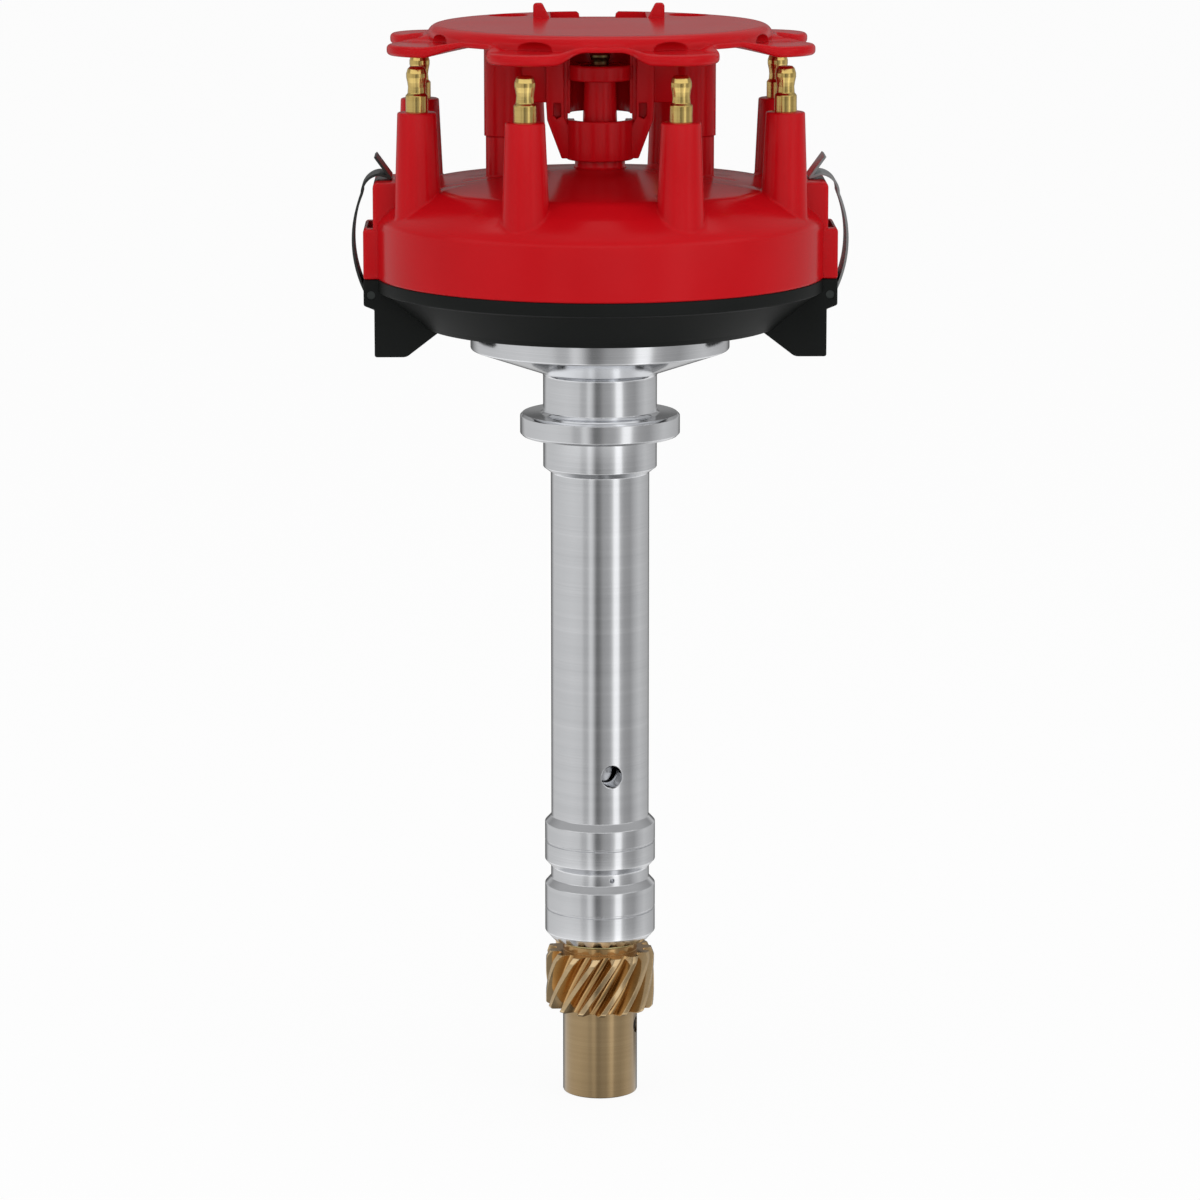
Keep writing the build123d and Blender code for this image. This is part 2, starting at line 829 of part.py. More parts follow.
def retainer_fin():
    """Small upright fin on the lid, sloped on its inner side."""
    low = lid_top - fin_sink
    top = lid_top + fin_height
    outline = [
        (fin_inner_x, low),
        (fin_outer_x, low),
        (fin_outer_x, top - fin_edge),
        (fin_outer_x - fin_edge, top),
        (fin_inner_x + fin_slope, top),
    ]
    return Pos(0, fin_y, 0) * profile_slab(outline, fin_t / 2)


def retainer_strut():
    """Side frame that joins the lid, the ring and the cup, with a small window."""
    roof = lid_top - lid_skin
    frame = profile_slab(
        [
            (cup_in_r + 1, cup_bottom + strut_foot_rise),
            (strut_foot_x, cup_bottom + strut_foot_rise),
            (strut_taper_x, cup_top),
            (strut_x, web_bottom),
            (strut_x, roof),
            (strut_in_x, roof),
            (strut_in_x, cup_top - strut_lap),
        ],
        strut_t / 2,
    )
    window = block((web_window_in, web_window_out), (web_window_skin, strut_t), (web_window_low, web_bottom))
    window += mirror(window, Plane.XZ)
    web = block((strut_x - 1, post_x - leg_r + 1), (-web_t / 2, web_t / 2), (web_bottom, roof))
    return frame - window + web


def hub_wall():
    """Back half of the tube that hangs from the lid round the ring, open at the front."""
    tube = ring(hub_wall_r, hub_wall_in_r, hub_wall_bottom, lid_top - lid_skin)
    behind = block((-lid_r, lid_r), (-hub_wall_lap, lid_r), (hub_wall_bottom - 1, lid_top))
    return tube & behind


def wire_retainer():
    """Moulded wire retainer: lid, two legs, centre ring and cup."""
    leg = rod(leg_r, post_top, lid_top - lid_skin, post_x)
    socket = rod(post_spigot_r + spigot_fit, post_top - 1, post_top + post_spigot_len + 0.5, post_x)
    body = retainer_lid() + both_sides(retainer_strut() + leg + retainer_fin())
    body += hub_wall() + ring(hub_ring_r, hub_ring_in_r, hub_ring_bottom, hub_ring_top)
    body += ring(cup_r, cup_in_r, cup_bottom, cup_top)
    return body - both_sides(socket)


def latch_path():
    """Centre line of the sprung strip: bulge past the boss, crown, hook and finger tab."""
    start = (pin_x + pin_r + latch_fit + latch_t / 2, pin_z)
    hook_z = ear_top + latch_lift + latch_t / 2
    shoulder = (latch_shoulder_x, latch_shoulder_z)
    crown_end = (latch_crown_x, hook_z + latch_crown_rise)
    over = (latch_shoulder_x - latch_crown_bow, (latch_shoulder_z + 2 * crown_end[1]) / 3)
    return [
        ThreePointArc(start, (latch_bulge_x, latch_bulge_z), shoulder),
        ThreePointArc(shoulder, over, crown_end),
        Line(crown_end, (latch_hook_x, hook_z)),
        Line((latch_hook_x, hook_z), (latch_tab_x, latch_tab_z)),
    ]


def latch_clip():
    """Sprung steel latch on the +X side, curled round its pin."""
    strip = sum((trace(edge, latch_t) for edge in latch_path()), Sketch())
    bends = [edge @ 1 for edge in latch_path()[:-1]]
    for bend in bends:
        strip += Pos(bend.X, bend.Y) * Circle(latch_t / 2)
    eye_r = pin_r + latch_fit + latch_t
    strip += Pos(pin_x, pin_z) * Circle(eye_r)
    strip -= Pos(pin_x, pin_z) * Circle(pin_r + latch_fit)
    return extrude(Plane.XZ * strip, latch_w / 2, both=True)


def latch_clip_right():
    """Latch on the +X side."""
    return latch_clip()


def latch_clip_left():
    """Latch on the -X side."""
    return mirror(latch_clip(), Plane.YZ)


def latch_pin_right():
    """Pin through the lug on the +X side."""
    return Pos(pin_x, 0, pin_z) * Rot(90, 0, 0) * Cylinder(pin_r, 2 * (lug_half_w - pin_inset))


def latch_pin_left():
    """Pin through the lug on the -X side."""
    return mirror(latch_pin_right(), Plane.YZ)


def export(piece):
    """Write one piece, or a group of equal pieces, as parts/NAME.step."""
    shape = piece()
    solids = shape if isinstance(shape, list) else [shape]
    solids = [solid for item in solids for solid in item.solids()]
    export_step(Compound(solids), f"parts/{piece.__name__}.step")


os.makedirs("parts", exist_ok=True)
for made in (
    housing_body,
    lower_bushing,
    upper_bearing_outer_race,
    upper_bearing_inner_race,
    bearing_seals,
    bearing_retaining_ring,
    shaft,
    drive_gear,
    gear_thrust_washer,
    gear_roll_pin,
    base_bowl,
    base_screws,
    distributor_cap,
    plug_terminals,
    coil_terminal,
    carbon_brush,
    brush_spring,
    rotor_hub,
    rotor_body,
    rotor_blade,
    rotor_screws,
    wire_retainer,
    latch_clip_left,
    latch_clip_right,
    latch_pin_left,
    latch_pin_right,
):
    export(made)
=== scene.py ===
"""Looks of the ignition distributor, in metres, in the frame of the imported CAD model.

The file follows the assembly from the foot of the housing to the wire retainer, then sets the
floor, the light and the camera.
"""
import math

import bmesh
import bpy
import numpy as np
from mathutils import Matrix, Vector


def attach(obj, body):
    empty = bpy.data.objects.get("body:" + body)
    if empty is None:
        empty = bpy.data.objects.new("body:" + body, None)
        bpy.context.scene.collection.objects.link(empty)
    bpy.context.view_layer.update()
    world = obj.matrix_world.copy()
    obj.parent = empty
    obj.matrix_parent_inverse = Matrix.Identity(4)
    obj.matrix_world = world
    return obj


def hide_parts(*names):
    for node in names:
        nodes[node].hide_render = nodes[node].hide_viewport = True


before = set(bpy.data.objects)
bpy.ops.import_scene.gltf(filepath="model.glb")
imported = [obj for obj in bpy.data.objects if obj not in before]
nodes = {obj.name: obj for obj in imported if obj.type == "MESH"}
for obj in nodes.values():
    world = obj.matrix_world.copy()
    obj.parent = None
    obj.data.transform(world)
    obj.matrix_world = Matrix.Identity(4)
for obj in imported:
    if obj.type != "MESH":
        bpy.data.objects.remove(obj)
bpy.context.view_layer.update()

# ---------------------------------------------------------------------------------------------
# Housing: one aluminium bar turned to a flange, a clamp collar, a long tube and two pilot bands
# with an oil groove between them. It is left as it comes off the lathe, with fine feed marks
# all round, and only the oil hole and the weep hole are drilled afterwards.
# ---------------------------------------------------------------------------------------------


def rounded(corners, radii, steps=4):
    """Closed outline with its corners rounded. The arc at a corner starts radius / tan(half the
    angle) along each side, and its points are centre + (sin((1 - s) turn) first + sin(s turn)
    last) / sin(turn), for s from 0 to 1, where first and last are the arc's two end radii."""
    corners = np.asarray(corners, float)
    s = np.linspace(0, 1, steps + 1)[:, None]
    points = []
    for k, radius in enumerate(radii):
        here = corners[k]
        sides = corners[[k - 1, (k + 1) % len(corners)]] - here
        a, b = sides / np.linalg.norm(sides, axis=1)[:, None]
        half = math.acos(np.clip(a @ b, -1, 1)) / 2
        if radius == 0 or half > 1.55:
            points.append(here[None])
            continue
        centre = here + (a + b) / np.linalg.norm(a + b) * radius / math.sin(half)
        reach, turn = radius / math.tan(half), math.pi - 2 * half
        first, last = here + a * reach - centre, here + b * reach - centre
        arc = np.sin((1 - s) * turn) * first + np.sin(s * turn) * last
        points.append(centre + arc / math.sin(turn))
    return np.concatenate(points)


def piece(name, points, faces, sharp=32.0):
    """Mesh object from points in millimetres and a list of faces. Edges that turn by more than
    `sharp` degrees are shaded sharp and the rest smooth, and the normals are made to point out."""
    mesh = bpy.data.meshes.new(name)
    mesh.from_pydata((np.asarray(points, float) * 0.001).tolist(), [], faces)
    made = bpy.data.objects.new(name, mesh)
    bpy.context.scene.collection.objects.link(made)
    shade(mesh, sharp)
    return made


def shade(mesh, sharp=32.0):
    """Merge doubles, turn the faces outwards and mark each edge sharp where its two faces turn
    by more than `sharp` degrees."""
    work = bmesh.new()
    work.from_mesh(mesh)
    bmesh.ops.remove_doubles(work, verts=work.verts, dist=1e-7)
    bmesh.ops.recalc_face_normals(work, faces=work.faces)
    for edge in work.edges:
        edge.smooth = len(edge.link_faces) == 2 and edge.calc_face_angle(0) < math.radians(sharp)
    for face in work.faces:
        face.smooth = True
    work.to_mesh(mesh)
    work.free()


def skin(rings, ends):
    """Faces over a stack of rings of equal size: a quad between each pair of neighbours on two
    neighbouring rings. `ends` says how the first and last ring finish: "joined" to each other,
    "capped" by a flat face each, or "open", for rings that shrink to a point on the axis."""
    count, size = rings.shape[:2]
    rows = count if ends == "joined" else count - 1
    k, j = np.meshgrid(np.arange(rows), np.arange(size), indexing="ij")
    up, on = (k + 1) % count, (j + 1) % size
    faces = np.stack([k * size + j, k * size + on, up * size + on, up * size + j], -1)
    faces = faces.reshape(-1, 4).tolist()
    if ends == "capped":
        faces.append(list(range(size))[::-1])
        faces.append(list(range((count - 1) * size, count * size)))
    return faces


def turned(name, outline, steps=192, sharp=32.0):
    """Surface of revolution: each (radius, height) of the outline becomes a ring of points
    (radius cos t, radius sin t, height). An outline that starts on the axis also ends there."""
    outline = np.asarray(outline, float)
    t = np.linspace(0, 2 * math.pi, steps, endpoint=False)
    r, z = outline[:, :1], outline[:, 1:]
    rings = np.stack([r * np.cos(t), r * np.sin(t), z + 0 * t], -1)
    ends = "open" if outline[0, 0] == 0 else "joined"
    return piece(name, rings.reshape(-1, 3), skin(rings, ends), sharp)


def combined(base, other, operation, sharp=32.0):
    """Join (UNION) a second closed solid to the base, or cut it away (DIFFERENCE). The result
    is stored in the base's own mesh and the second object is removed."""
    step = base.modifiers.new("step", "BOOLEAN")
    step.operation = operation
    step.solver = "MANIFOLD"
    step.object = other
    graph = bpy.context.evaluated_depsgraph_get()
    graph.update()
    result = bpy.data.meshes.new_from_object(base.evaluated_get(graph))
    result.materials.clear()
    base.modifiers.clear()
    base.data = result
    bpy.data.objects.remove(other)
    shade(result, sharp)
    return base


def drill(name, radius, start, end, steps=48):
    """Round bar or cutter from one point to another: circles of the radius square to the line,
    point + radius (cos t first + sin t second). Two radii make it a cone."""
    start, end = np.asarray(start, float), np.asarray(end, float)
    along = (end - start) / np.linalg.norm(end - start)
    first = np.cross(along, (0.31, 0.17, 0.93))
    first /= np.linalg.norm(first)
    second = np.cross(along, first)
    t = np.linspace(0, 2 * math.pi, steps, endpoint=False)[:, None]
    radii = np.broadcast_to(radius, 2)
    circle = np.cos(t) * first + np.sin(t) * second
    rings = np.stack([start + radii[0] * circle, end + radii[1] * circle])
    return piece(name, rings.reshape(-1, 3), skin(rings, "capped"))


def polar(radius, degrees, z):
    """Point at a radius and an angle about the shaft axis."""
    turn = math.radians(degrees)
    return (radius * math.cos(turn), radius * math.sin(turn), z)


def group(name, inputs, outputs):
    """Empty shader node group with float inputs given as (name, default) and named outputs."""
    tree = bpy.data.node_groups.new(name, "ShaderNodeTree")
    for label, default in inputs:
        socket = tree.interface.new_socket(label, in_out="INPUT", socket_type="NodeSocketFloat")
        socket.default_value = default
    for label, kind in outputs:
        tree.interface.new_socket(label, in_out="OUTPUT", socket_type=kind)
    return tree, tree.nodes.new("NodeGroupInput"), tree.nodes.new("NodeGroupOutput")


def node(tree, kind, links=(), **settings):
    """Add a shader node, set its properties (lower case) or sockets (given as a dict under
    `sockets`), and link sources to its inputs by name or number. A MapRange node reads from
    inputs 1 and 2 to inputs 3 and 4. A colour Mix node has its factor at input 0, its colours
    at 6 and 7 and its result at output 2."""
    made = tree.nodes.new("ShaderNode" + kind)
    for key, value in settings.pop("sockets", {}).items():
        made.inputs[key].default_value = value
    for key, value in settings.items():
        setattr(made, key, value)
    for source, target in links:
        tree.links.new(source, made.inputs[target])
    return made


def turning_marks():
    """Feed marks of a lathe: bands of noise that change only along the turning axis, at a fine
    and a coarse pitch, plus faint blotches. Height is the sum of the two; Tone follows it."""
    tree, given, out = group(
        "turning_marks",
        [("Pitch", 2600.0), ("Blotch", 60.0)],
        [("Height", "NodeSocketFloat"), ("Tone", "NodeSocketFloat")],
    )
    place = node(tree, "TexCoord")
    split = node(tree, "SeparateXYZ", [(place.outputs["Object"], 0)])
    fine_z = node(tree, "Math", [(split.outputs["Z"], 0), (given.outputs["Pitch"], 1)],
                  operation="MULTIPLY")
    fine = node(tree, "TexNoise", [(fine_z.outputs[0], "W")], noise_dimensions="1D",
                sockets={"Scale": 1.0, "Detail": 3.0, "Roughness": 0.7})
    coarse_z = node(tree, "Math", [(fine_z.outputs[0], 0)], operation="MULTIPLY", sockets={1: 0.13})
    coarse = node(tree, "TexNoise", [(coarse_z.outputs[0], "W")], noise_dimensions="1D",
                  sockets={"Scale": 1.0, "Detail": 2.0})
    height = node(tree, "Math", [(fine.outputs[0], 0), (coarse.outputs[0], 1)], operation="ADD")
    blotch = node(tree, "TexNoise", [(place.outputs["Object"], "Vector"), (given.outputs["Blotch"], "Scale")],
                  sockets={"Detail": 4.0})
    tone = node(tree, "Math", [(height.outputs[0], 0), (blotch.outputs[0], 1)], operation="ADD")
    third = node(tree, "Math", [(tone.outputs[0], 0)], operation="DIVIDE", sockets={1: 3.0})
    tree.links.new(height.outputs[0], out.inputs["Height"])
    tree.links.new(third.outputs[0], out.inputs["Tone"])
    return tree


turning = turning_marks()


def place_group(material, tree, **values):
    """Put a shader node group in a material, with its input values."""
    placed = material.node_tree.nodes.new("ShaderNodeGroup")
    placed.node_tree = tree
    for key, value in values.items():
        placed.inputs[key].default_value = value
    return placed


def finish(name, rough, metallic=0.0, edge=0.0003, **sockets):
    """New material with a Principled shader. A Bevel node softens edges over `edge` metres, and
    its normal is the base of the bump that `textured` adds."""
    material = bpy.data.materials.new(name)
    material.use_nodes = True
    tree = material.node_tree
    shader = tree.nodes["Principled BSDF"]
    shader.inputs["Roughness"].default_value = rough
    shader.inputs["Metallic"].default_value = metallic
    for key, value in sockets.items():
        shader.inputs[key.replace("_", " ")].default_value = value
    bevel = node(tree, "Bevel", sockets={"Radius": edge}, samples=4)
    tree.links.new(bevel.outputs[0], shader.inputs["Normal"])
    return material


def textured(material, tone, height, dark, light, bump, depth, rough=None, spread=(0.3, 0.7)):
    """Colour between `dark` and `light` by the tone, a bump of that strength and depth in
    metres from the height, and if given a roughness range over the same tone."""
    tree = material.node_tree
    shader, bevel = tree.nodes["Principled BSDF"], tree.nodes["Bevel"]
    ramp = node(tree, "MapRange", [(tone, 0)], sockets={1: spread[0], 2: spread[1]})
    mix = node(tree, "Mix", [(ramp.outputs[0], 0)], data_type="RGBA",
               sockets={6: (*dark, 1), 7: (*light, 1)})
    tree.links.new(mix.outputs[2], shader.inputs["Base Color"])
    bumped = node(tree, "Bump", [(height, "Height"), (bevel.outputs[0], "Normal")],
                  sockets={"Strength": bump, "Distance": depth})
    tree.links.new(bumped.outputs[0], shader.inputs["Normal"])
    if rough:
        polish = node(tree, "MapRange", [(tone, 0)],
                      sockets={1: spread[0], 2: spread[1], 3: rough[0], 4: rough[1]})
        tree.links.new(polish.outputs[0], shader.inputs["Roughness"])
    return material


def machined(name, dark, light, rough, bump=0.25, depth=0.00001, pitch=2600.0):
    """Turned metal: the lathe's marks in colour, polish and relief."""
    made = finish(name, rough[0], metallic=1.0)
    marks = place_group(made, turning, Pitch=pitch)
    return textured(made, marks.outputs["Tone"], marks.outputs["Height"], dark, light, bump, depth, rough)


foot_z, pilot_r, line_r, groove_r, tube_r, neck_r = -148.6, 16.0, 15.7, 14.25, 14.15, 16.3
clamp_r, clamp_face_r, flange_r, flange_top = 22.9, 22.2, 37.0, 32.1
bush_r, running_r, seat_r, ring_groove_r = 8.0, 7.2, 14.0, 14.7
# The half section as (radius, height, corner radius), up the outside from the foot, then down
# through the bearing seat and the bore.
housing_rows = np.array([
    (bush_r, foot_z, 0.3), (13.9, foot_z, 0.4), (pilot_r, -146.2, 0.4), (pilot_r, -139.55, 0),
    (line_r, -139.45, 0), (line_r, -138.95, 0), (pilot_r, -138.85, 0), (pilot_r, -132.2, 0.35),
    (groove_r, -130.25, 0.35), (groove_r, -126.85, 0.35), (pilot_r, -124.9, 0.35), (pilot_r, -119.7, 0),
    (line_r, -119.6, 0), (line_r, -119.1, 0), (pilot_r, -119.0, 0), (pilot_r, -113.8, 0.4),
    (tube_r, -111.85, 0.3), (tube_r, -10.7, 0.3), (neck_r, -9.1, 0.3), (neck_r, 0.0, 0.2),
    (clamp_face_r, 0.0, 0.3), (clamp_r, 0.7, 0.3), (clamp_r, 5.7, 0.3), (clamp_face_r, 6.4, 0.3),
    (17.1, 6.4, 0.4), (neck_r, 7.2, 0.4), (neck_r, 17.5, 0.5), (17.1, 18.3, 0.4),
    (flange_r, 25.2, 0.5), (flange_r, flange_top, 0.4), (seat_r, flange_top, 0.2), (seat_r, 31.7, 0),
    (ring_groove_r, 31.7, 0), (ring_groove_r, 30.6, 0), (seat_r, 30.6, 0), (seat_r, 22.5, 0.2),
    (running_r, 22.5, 0), (running_r, -124.6, 0), (bush_r, -124.6, 0),
])
housing = turned("housing_casting", rounded(housing_rows[:, :2], housing_rows[:, 2]), 256)
oil_angle, oil_z, weep_z = -76.7, -97.8, -128.55
oil_hole = drill("oil hole", 3.1, polar(5, oil_angle, oil_z), polar(17, oil_angle, oil_z))
oil_sink = drill("countersink", (2.3, 4.7), polar(13.0, oil_angle, oil_z), polar(15.4, oil_angle, oil_z))
weep_hole = drill("weep hole", 0.7, polar(10, oil_angle, weep_z), polar(16, oil_angle, weep_z), 24)
for cutter in (oil_hole, oil_sink, weep_hole):
    combined(housing, cutter, "DIFFERENCE")
turned_aluminium = machined("turned aluminium", (0.68, 0.69, 0.71), (0.80, 0.81, 0.83), (0.10, 0.17),
                            bump=0.12)
housing.data.materials.append(turned_aluminium)
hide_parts("housing_body")
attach(housing, "distributor")

# ---------------------------------------------------------------------------------------------
# Inside the housing: a sintered bronze bushing in the foot, and a sealed ball bearing in the
# flange, held by a spring-steel circlip. The shaft is ground steel. They keep their CAD shapes.
# ---------------------------------------------------------------------------------------------


def dress(material, *names):
    """Give CAD nodes a material in their own object's slots."""
    for name in names:
        for place in nodes[name].material_slots:
            place.material = material


def moulding_grain():
    """Skin of a casting or moulding: fine round grain over slow waves. Height is the grain and
    Tone the waves."""
    tree, given, out = group(
        "moulding_grain",
        [("Grain", 900.0), ("Wave", 40.0)],
        [("Height", "NodeSocketFloat"), ("Tone", "NodeSocketFloat")],
    )
    place = node(tree, "TexCoord")
    grain = node(tree, "TexNoise", [(place.outputs["Object"], "Vector"), (given.outputs["Grain"], "Scale")],
                 sockets={"Detail": 3.0, "Roughness": 0.6})
    wave = node(tree, "TexNoise", [(place.outputs["Object"], "Vector"), (given.outputs["Wave"], "Scale")],
                sockets={"Detail": 2.0})
    tree.links.new(grain.outputs[0], out.inputs["Height"])
    tree.links.new(wave.outputs[0], out.inputs["Tone"])
    return tree


grain = moulding_grain()


def moulded(name, dark, light, rough, scale=900.0, bump=0.1, metallic=0.0, **sockets):
    """Moulded or plain metal surface: grain in relief and slow waves in colour and gloss."""
    made = finish(name, rough[0], metallic, **sockets)
    placed = place_group(made, grain, Grain=scale)
    tone, height = placed.outputs["Tone"], placed.outputs["Height"]
    return textured(made, tone, height, dark, light, bump, 0.00002, rough, spread=(0.1, 0.9))


dress(machined("oiled bronze bushing", (0.36, 0.23, 0.10), (0.50, 0.34, 0.16), (0.3, 0.45)),
      "lower_bushing")
dress(machined("ground bearing steel", (0.52, 0.53, 0.55), (0.66, 0.67, 0.69), (0.12, 0.2), pitch=4000.0),
      "upper_bearing_outer_race", "upper_bearing_inner_race")
dress(moulded("seal rubber", (0.018, 0.018, 0.018), (0.03, 0.03, 0.03), (0.55, 0.7)), "bearing_seals")
dress(moulded("circlip steel", (0.16, 0.16, 0.17), (0.24, 0.24, 0.25), (0.3, 0.42), metallic=1.0),
      "bearing_retaining_ring")
dress(machined("ground shaft steel", (0.50, 0.51, 0.53), (0.62, 0.63, 0.65), (0.15, 0.25), pitch=3400.0),
      "shaft")

# ---------------------------------------------------------------------------------------------
# Drive gear: a helical gear with a long hub, hobbed and turned from one bronze bar. The tooth
# gaps are painted darker and browner than the lands, a painted shade in the gaps. It is locked to the
# shaft by a spring pin, and a plain brass washer takes its thrust against the housing.
# ---------------------------------------------------------------------------------------------
gear_low, shoulder_z, gear_high = -169.0, -151.9, -149.7
gear_teeth, gear_twist, gear_phase = 15, 42.75, 6.75
tip_r, root_r, shoulder_r, collar_r = 15.8, 12.6, 15.0, 10.9
hub_r, bore_r, hub_low = 10.85, 6.0, -195.0
pin_angle, pin_z, pin_hole_r, plain_rings = -14, -174.7, 2.4, 28
# Half a tooth, as (share of a pitch from its middle, radius), from the land down to the gap.
half_tooth = np.array([
    (0.0, tip_r), (0.06, tip_r), (0.115, tip_r), (0.128, 15.72), (0.14, 15.55), (0.175, 15.1),
    (0.225, 14.4), (0.275, 13.7), (0.31, 13.2), (0.335, 12.88), (0.365, 12.68), (0.41, root_r),
])
shares = np.concatenate([-half_tooth[:0:-1, 0], half_tooth[:, 0]])
radii = np.concatenate([half_tooth[:0:-1, 1], half_tooth[:, 1]])
tooth_turn = (gear_phase + (np.arange(gear_teeth)[:, None] + shares) * 360 / gear_teeth).ravel()
tooth_radius = np.tile(radii, gear_teeth)
heights = np.concatenate([
    gear_low + np.array([0, 0.15, 0.3, 0.45, 0.55]),
    np.linspace(gear_low + 1.0, shoulder_z - 2.4, 36),
    shoulder_z - np.array([2.05, 1.95, 1.5, 1.0, 0.5, 0.0]),
])


def gear_rings():
    """Helical gear as one closed skin. Every ring is the tooth outline r(u) at angle u + twist
    (z - low) / face, clipped to r <= blank(z), the cones that chamfer both ends. The rings then
    go over the collar, down the bore, where the twist is taken back, and up round the hub."""
    blank = np.interp(heights, [gear_low, gear_low + 0.5, shoulder_z - 2.0, shoulder_z],
                      [tip_r - 0.5, tip_r, tip_r, shoulder_r])
    toothed = [(z, np.minimum(tooth_radius, b)) for z, b in zip(heights, blank)]
    plain = [(shoulder_z, collar_r), (gear_high - 0.25, collar_r), (gear_high, collar_r - 0.25)]
    plain += [(z, bore_r) for z in np.linspace(gear_high, hub_low, plain_rings)]
    plain += [(hub_low, hub_r - 0.5), (hub_low + 0.15, hub_r - 0.15), (hub_low + 0.5, hub_r)]
    plain += [(gear_low - 0.5, hub_r), (gear_low - 0.2, hub_r + 0.1), (gear_low, hub_r + 0.5)]
    rows = toothed + [(z, np.full_like(tooth_radius, r)) for z, r in plain]
    z = np.array([row[0] for row in rows])[:, None]
    r = np.array([row[1] for row in rows])
    turn = np.radians(tooth_turn + gear_twist * np.clip((z - gear_low) / (shoulder_z - gear_low), 0, 1))
    bore, hub = len(toothed) + 3, len(toothed) + 3 + plain_rings
    turn[bore:hub] = np.radians(tooth_turn + gear_twist * np.linspace(1, 0, plain_rings)[:, None])
    turn[hub:] = np.radians(tooth_turn)
    return np.stack([r * np.cos(turn), r * np.sin(turn), z + 0 * r], -1)


gear_skin = gear_rings()
gear = piece("helical_gear", gear_skin.reshape(-1, 3), skin(gear_skin, "joined"), 28.0)
pin_ends = polar(14, pin_angle, pin_z), polar(14, pin_angle + 180, pin_z)
combined(gear, drill("pin hole", pin_hole_r, *pin_ends), "DIFFERENCE", 28.0)


def gap_shade_share():
    """Share of the way from a gear's root to its tips: the distance from the shaft axis in the
    object's own x and y, mapped from the inner to the outer radius, 0 in the gaps. It masks the
    painted shade in the gaps."""
    tree, given, out = group(
        "gap_shade_share",
        [("Inner", root_r * 0.001), ("Outer", 0.0157)],
        [("Share", "NodeSocketFloat")],
    )
    place = node(tree, "TexCoord")
    flat = node(tree, "VectorMath", [(place.outputs["Object"], 0)], operation="MULTIPLY",
                sockets={1: (1, 1, 0)})
    reach = node(tree, "VectorMath", [(flat.outputs[0], 0)], operation="LENGTH")
    share = node(tree, "MapRange", [(reach.outputs["Value"], 0), (given.outputs["Inner"], 1),
                                    (given.outputs["Outer"], 2)], interpolation_type="SMOOTHSTEP")
    tree.links.new(share.outputs[0], out.inputs["Share"])
    return tree


# The first tint is a painted shade for the tooth gaps; the lands stay white and keep the bronze's own colour.
gap_shade_tint, land_tint, hub_tint = (0.84, 0.72, 0.56, 1), (1.0, 1.0, 1.0, 1), (0.45, 0.44, 0.42, 1)
gear_bronze = machined("cut bronze", (0.54, 0.385, 0.21), (0.68, 0.50, 0.285), (0.10, 0.17), bump=0.05)
tree = gear_bronze.node_tree
bronze_tone = tree.nodes["Mix"].outputs[2]
land = place_group(gear_bronze, gap_shade_share())
# Painted shade: the bronze is darkened and browned towards the roots of the teeth.
gap_shade = node(tree, "Mix", [(land.outputs["Share"], 0)], data_type="RGBA",
             sockets={6: gap_shade_tint, 7: land_tint})
tooth_tone = node(tree, "Mix", [(bronze_tone, 6), (gap_shade.outputs[2], 7)], data_type="RGBA",
                  blend_type="MULTIPLY", sockets={0: 1.0})
hub_tone = node(tree, "Mix", [(bronze_tone, 6)], data_type="RGBA", blend_type="MULTIPLY",
                sockets={0: 1.0, 7: hub_tint})
place = node(tree, "TexCoord")
split = node(tree, "SeparateXYZ", [(place.outputs["Object"], 0)])
above_hub = node(tree, "MapRange", [(split.outputs["Z"], 0)],
                 sockets={1: gear_low * 0.001 - 0.0003, 2: gear_low * 0.001 + 0.0001})
gear_tone = node(tree, "Mix", [(above_hub.outputs[0], 0), (hub_tone.outputs[2], 6),
                               (tooth_tone.outputs[2], 7)], data_type="RGBA")
tree.links.new(gear_tone.outputs[2], tree.nodes["Principled BSDF"].inputs["Base Color"])
gear.data.materials.append(gear_bronze)
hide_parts("drive_gear")
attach(gear, "rotor")
dress(machined("washer brass", (0.50, 0.42, 0.20), (0.62, 0.54, 0.28), (0.25, 0.35)), "gear_thrust_washer")
dress(moulded("spring pin steel", (0.10, 0.095, 0.09), (0.18, 0.17, 0.16), (0.35, 0.5), metallic=1.0),
      "gear_roll_pin")

# ---------------------------------------------------------------------------------------------
# Base bowl: glass-filled nylon moulded matt black, screwed to the flange. Its rim carries the
# cap, and a lug on each side holds a latch pin over a deep foot.
# ---------------------------------------------------------------------------------------------


def slab(name, outline, half, edge=0.5, steps=3):
    """Plate with rounded edges: the closed (x, z) outline is carried along y from -half to half,
    and near each end every point moves inwards along its mitre by edge (1 - cos a) while y goes
    on by edge sin a. The ends are flat."""
    outline = np.asarray(outline, float)
    sides = outline - np.roll(outline, 1, 0)
    out = sides / np.linalg.norm(sides, axis=1)[:, None] @ np.array([[0, -1], [1, 0]])
    mitre = out + np.roll(out, -1, 0)
    mitre *= 2 / (mitre ** 2).sum(1)[:, None]
    x, z = outline.T
    area = (x * np.roll(z, -1) - np.roll(x, -1) * z).sum()
    mitre *= 1 if area < 0 else -1
    a = np.linspace(0, math.pi / 2, steps + 1)
    inset = edge * (1 - np.cos(a))
    reach = half - edge + edge * np.sin(a)
    inset = np.concatenate([inset[::-1], inset])
    y = np.concatenate([-reach[::-1], reach])
    flat = outline + inset[:, None, None] * mitre
    rings = np.stack([flat[..., 0], y[:, None] + 0 * flat[..., 0], flat[..., 1]], -1)
    return piece(name, rings.reshape(-1, 3), skin(rings, "capped"))


def box_outline(left, right, low, high):
    """Corners of an upright rectangle, counterclockwise from the lower left."""
    return [(left, low), (right, low), (right, high), (left, high)]


def mirrored(made):
    """The same solid on the -X side."""
    points = np.empty(len(made.data.vertices) * 3)
    made.data.vertices.foreach_get("co", points)
    points = points.reshape(-1, 3) * (-1000, 1000, 1000)
    return piece(made.name + " left", points, [list(face.vertices) for face in made.data.polygons])


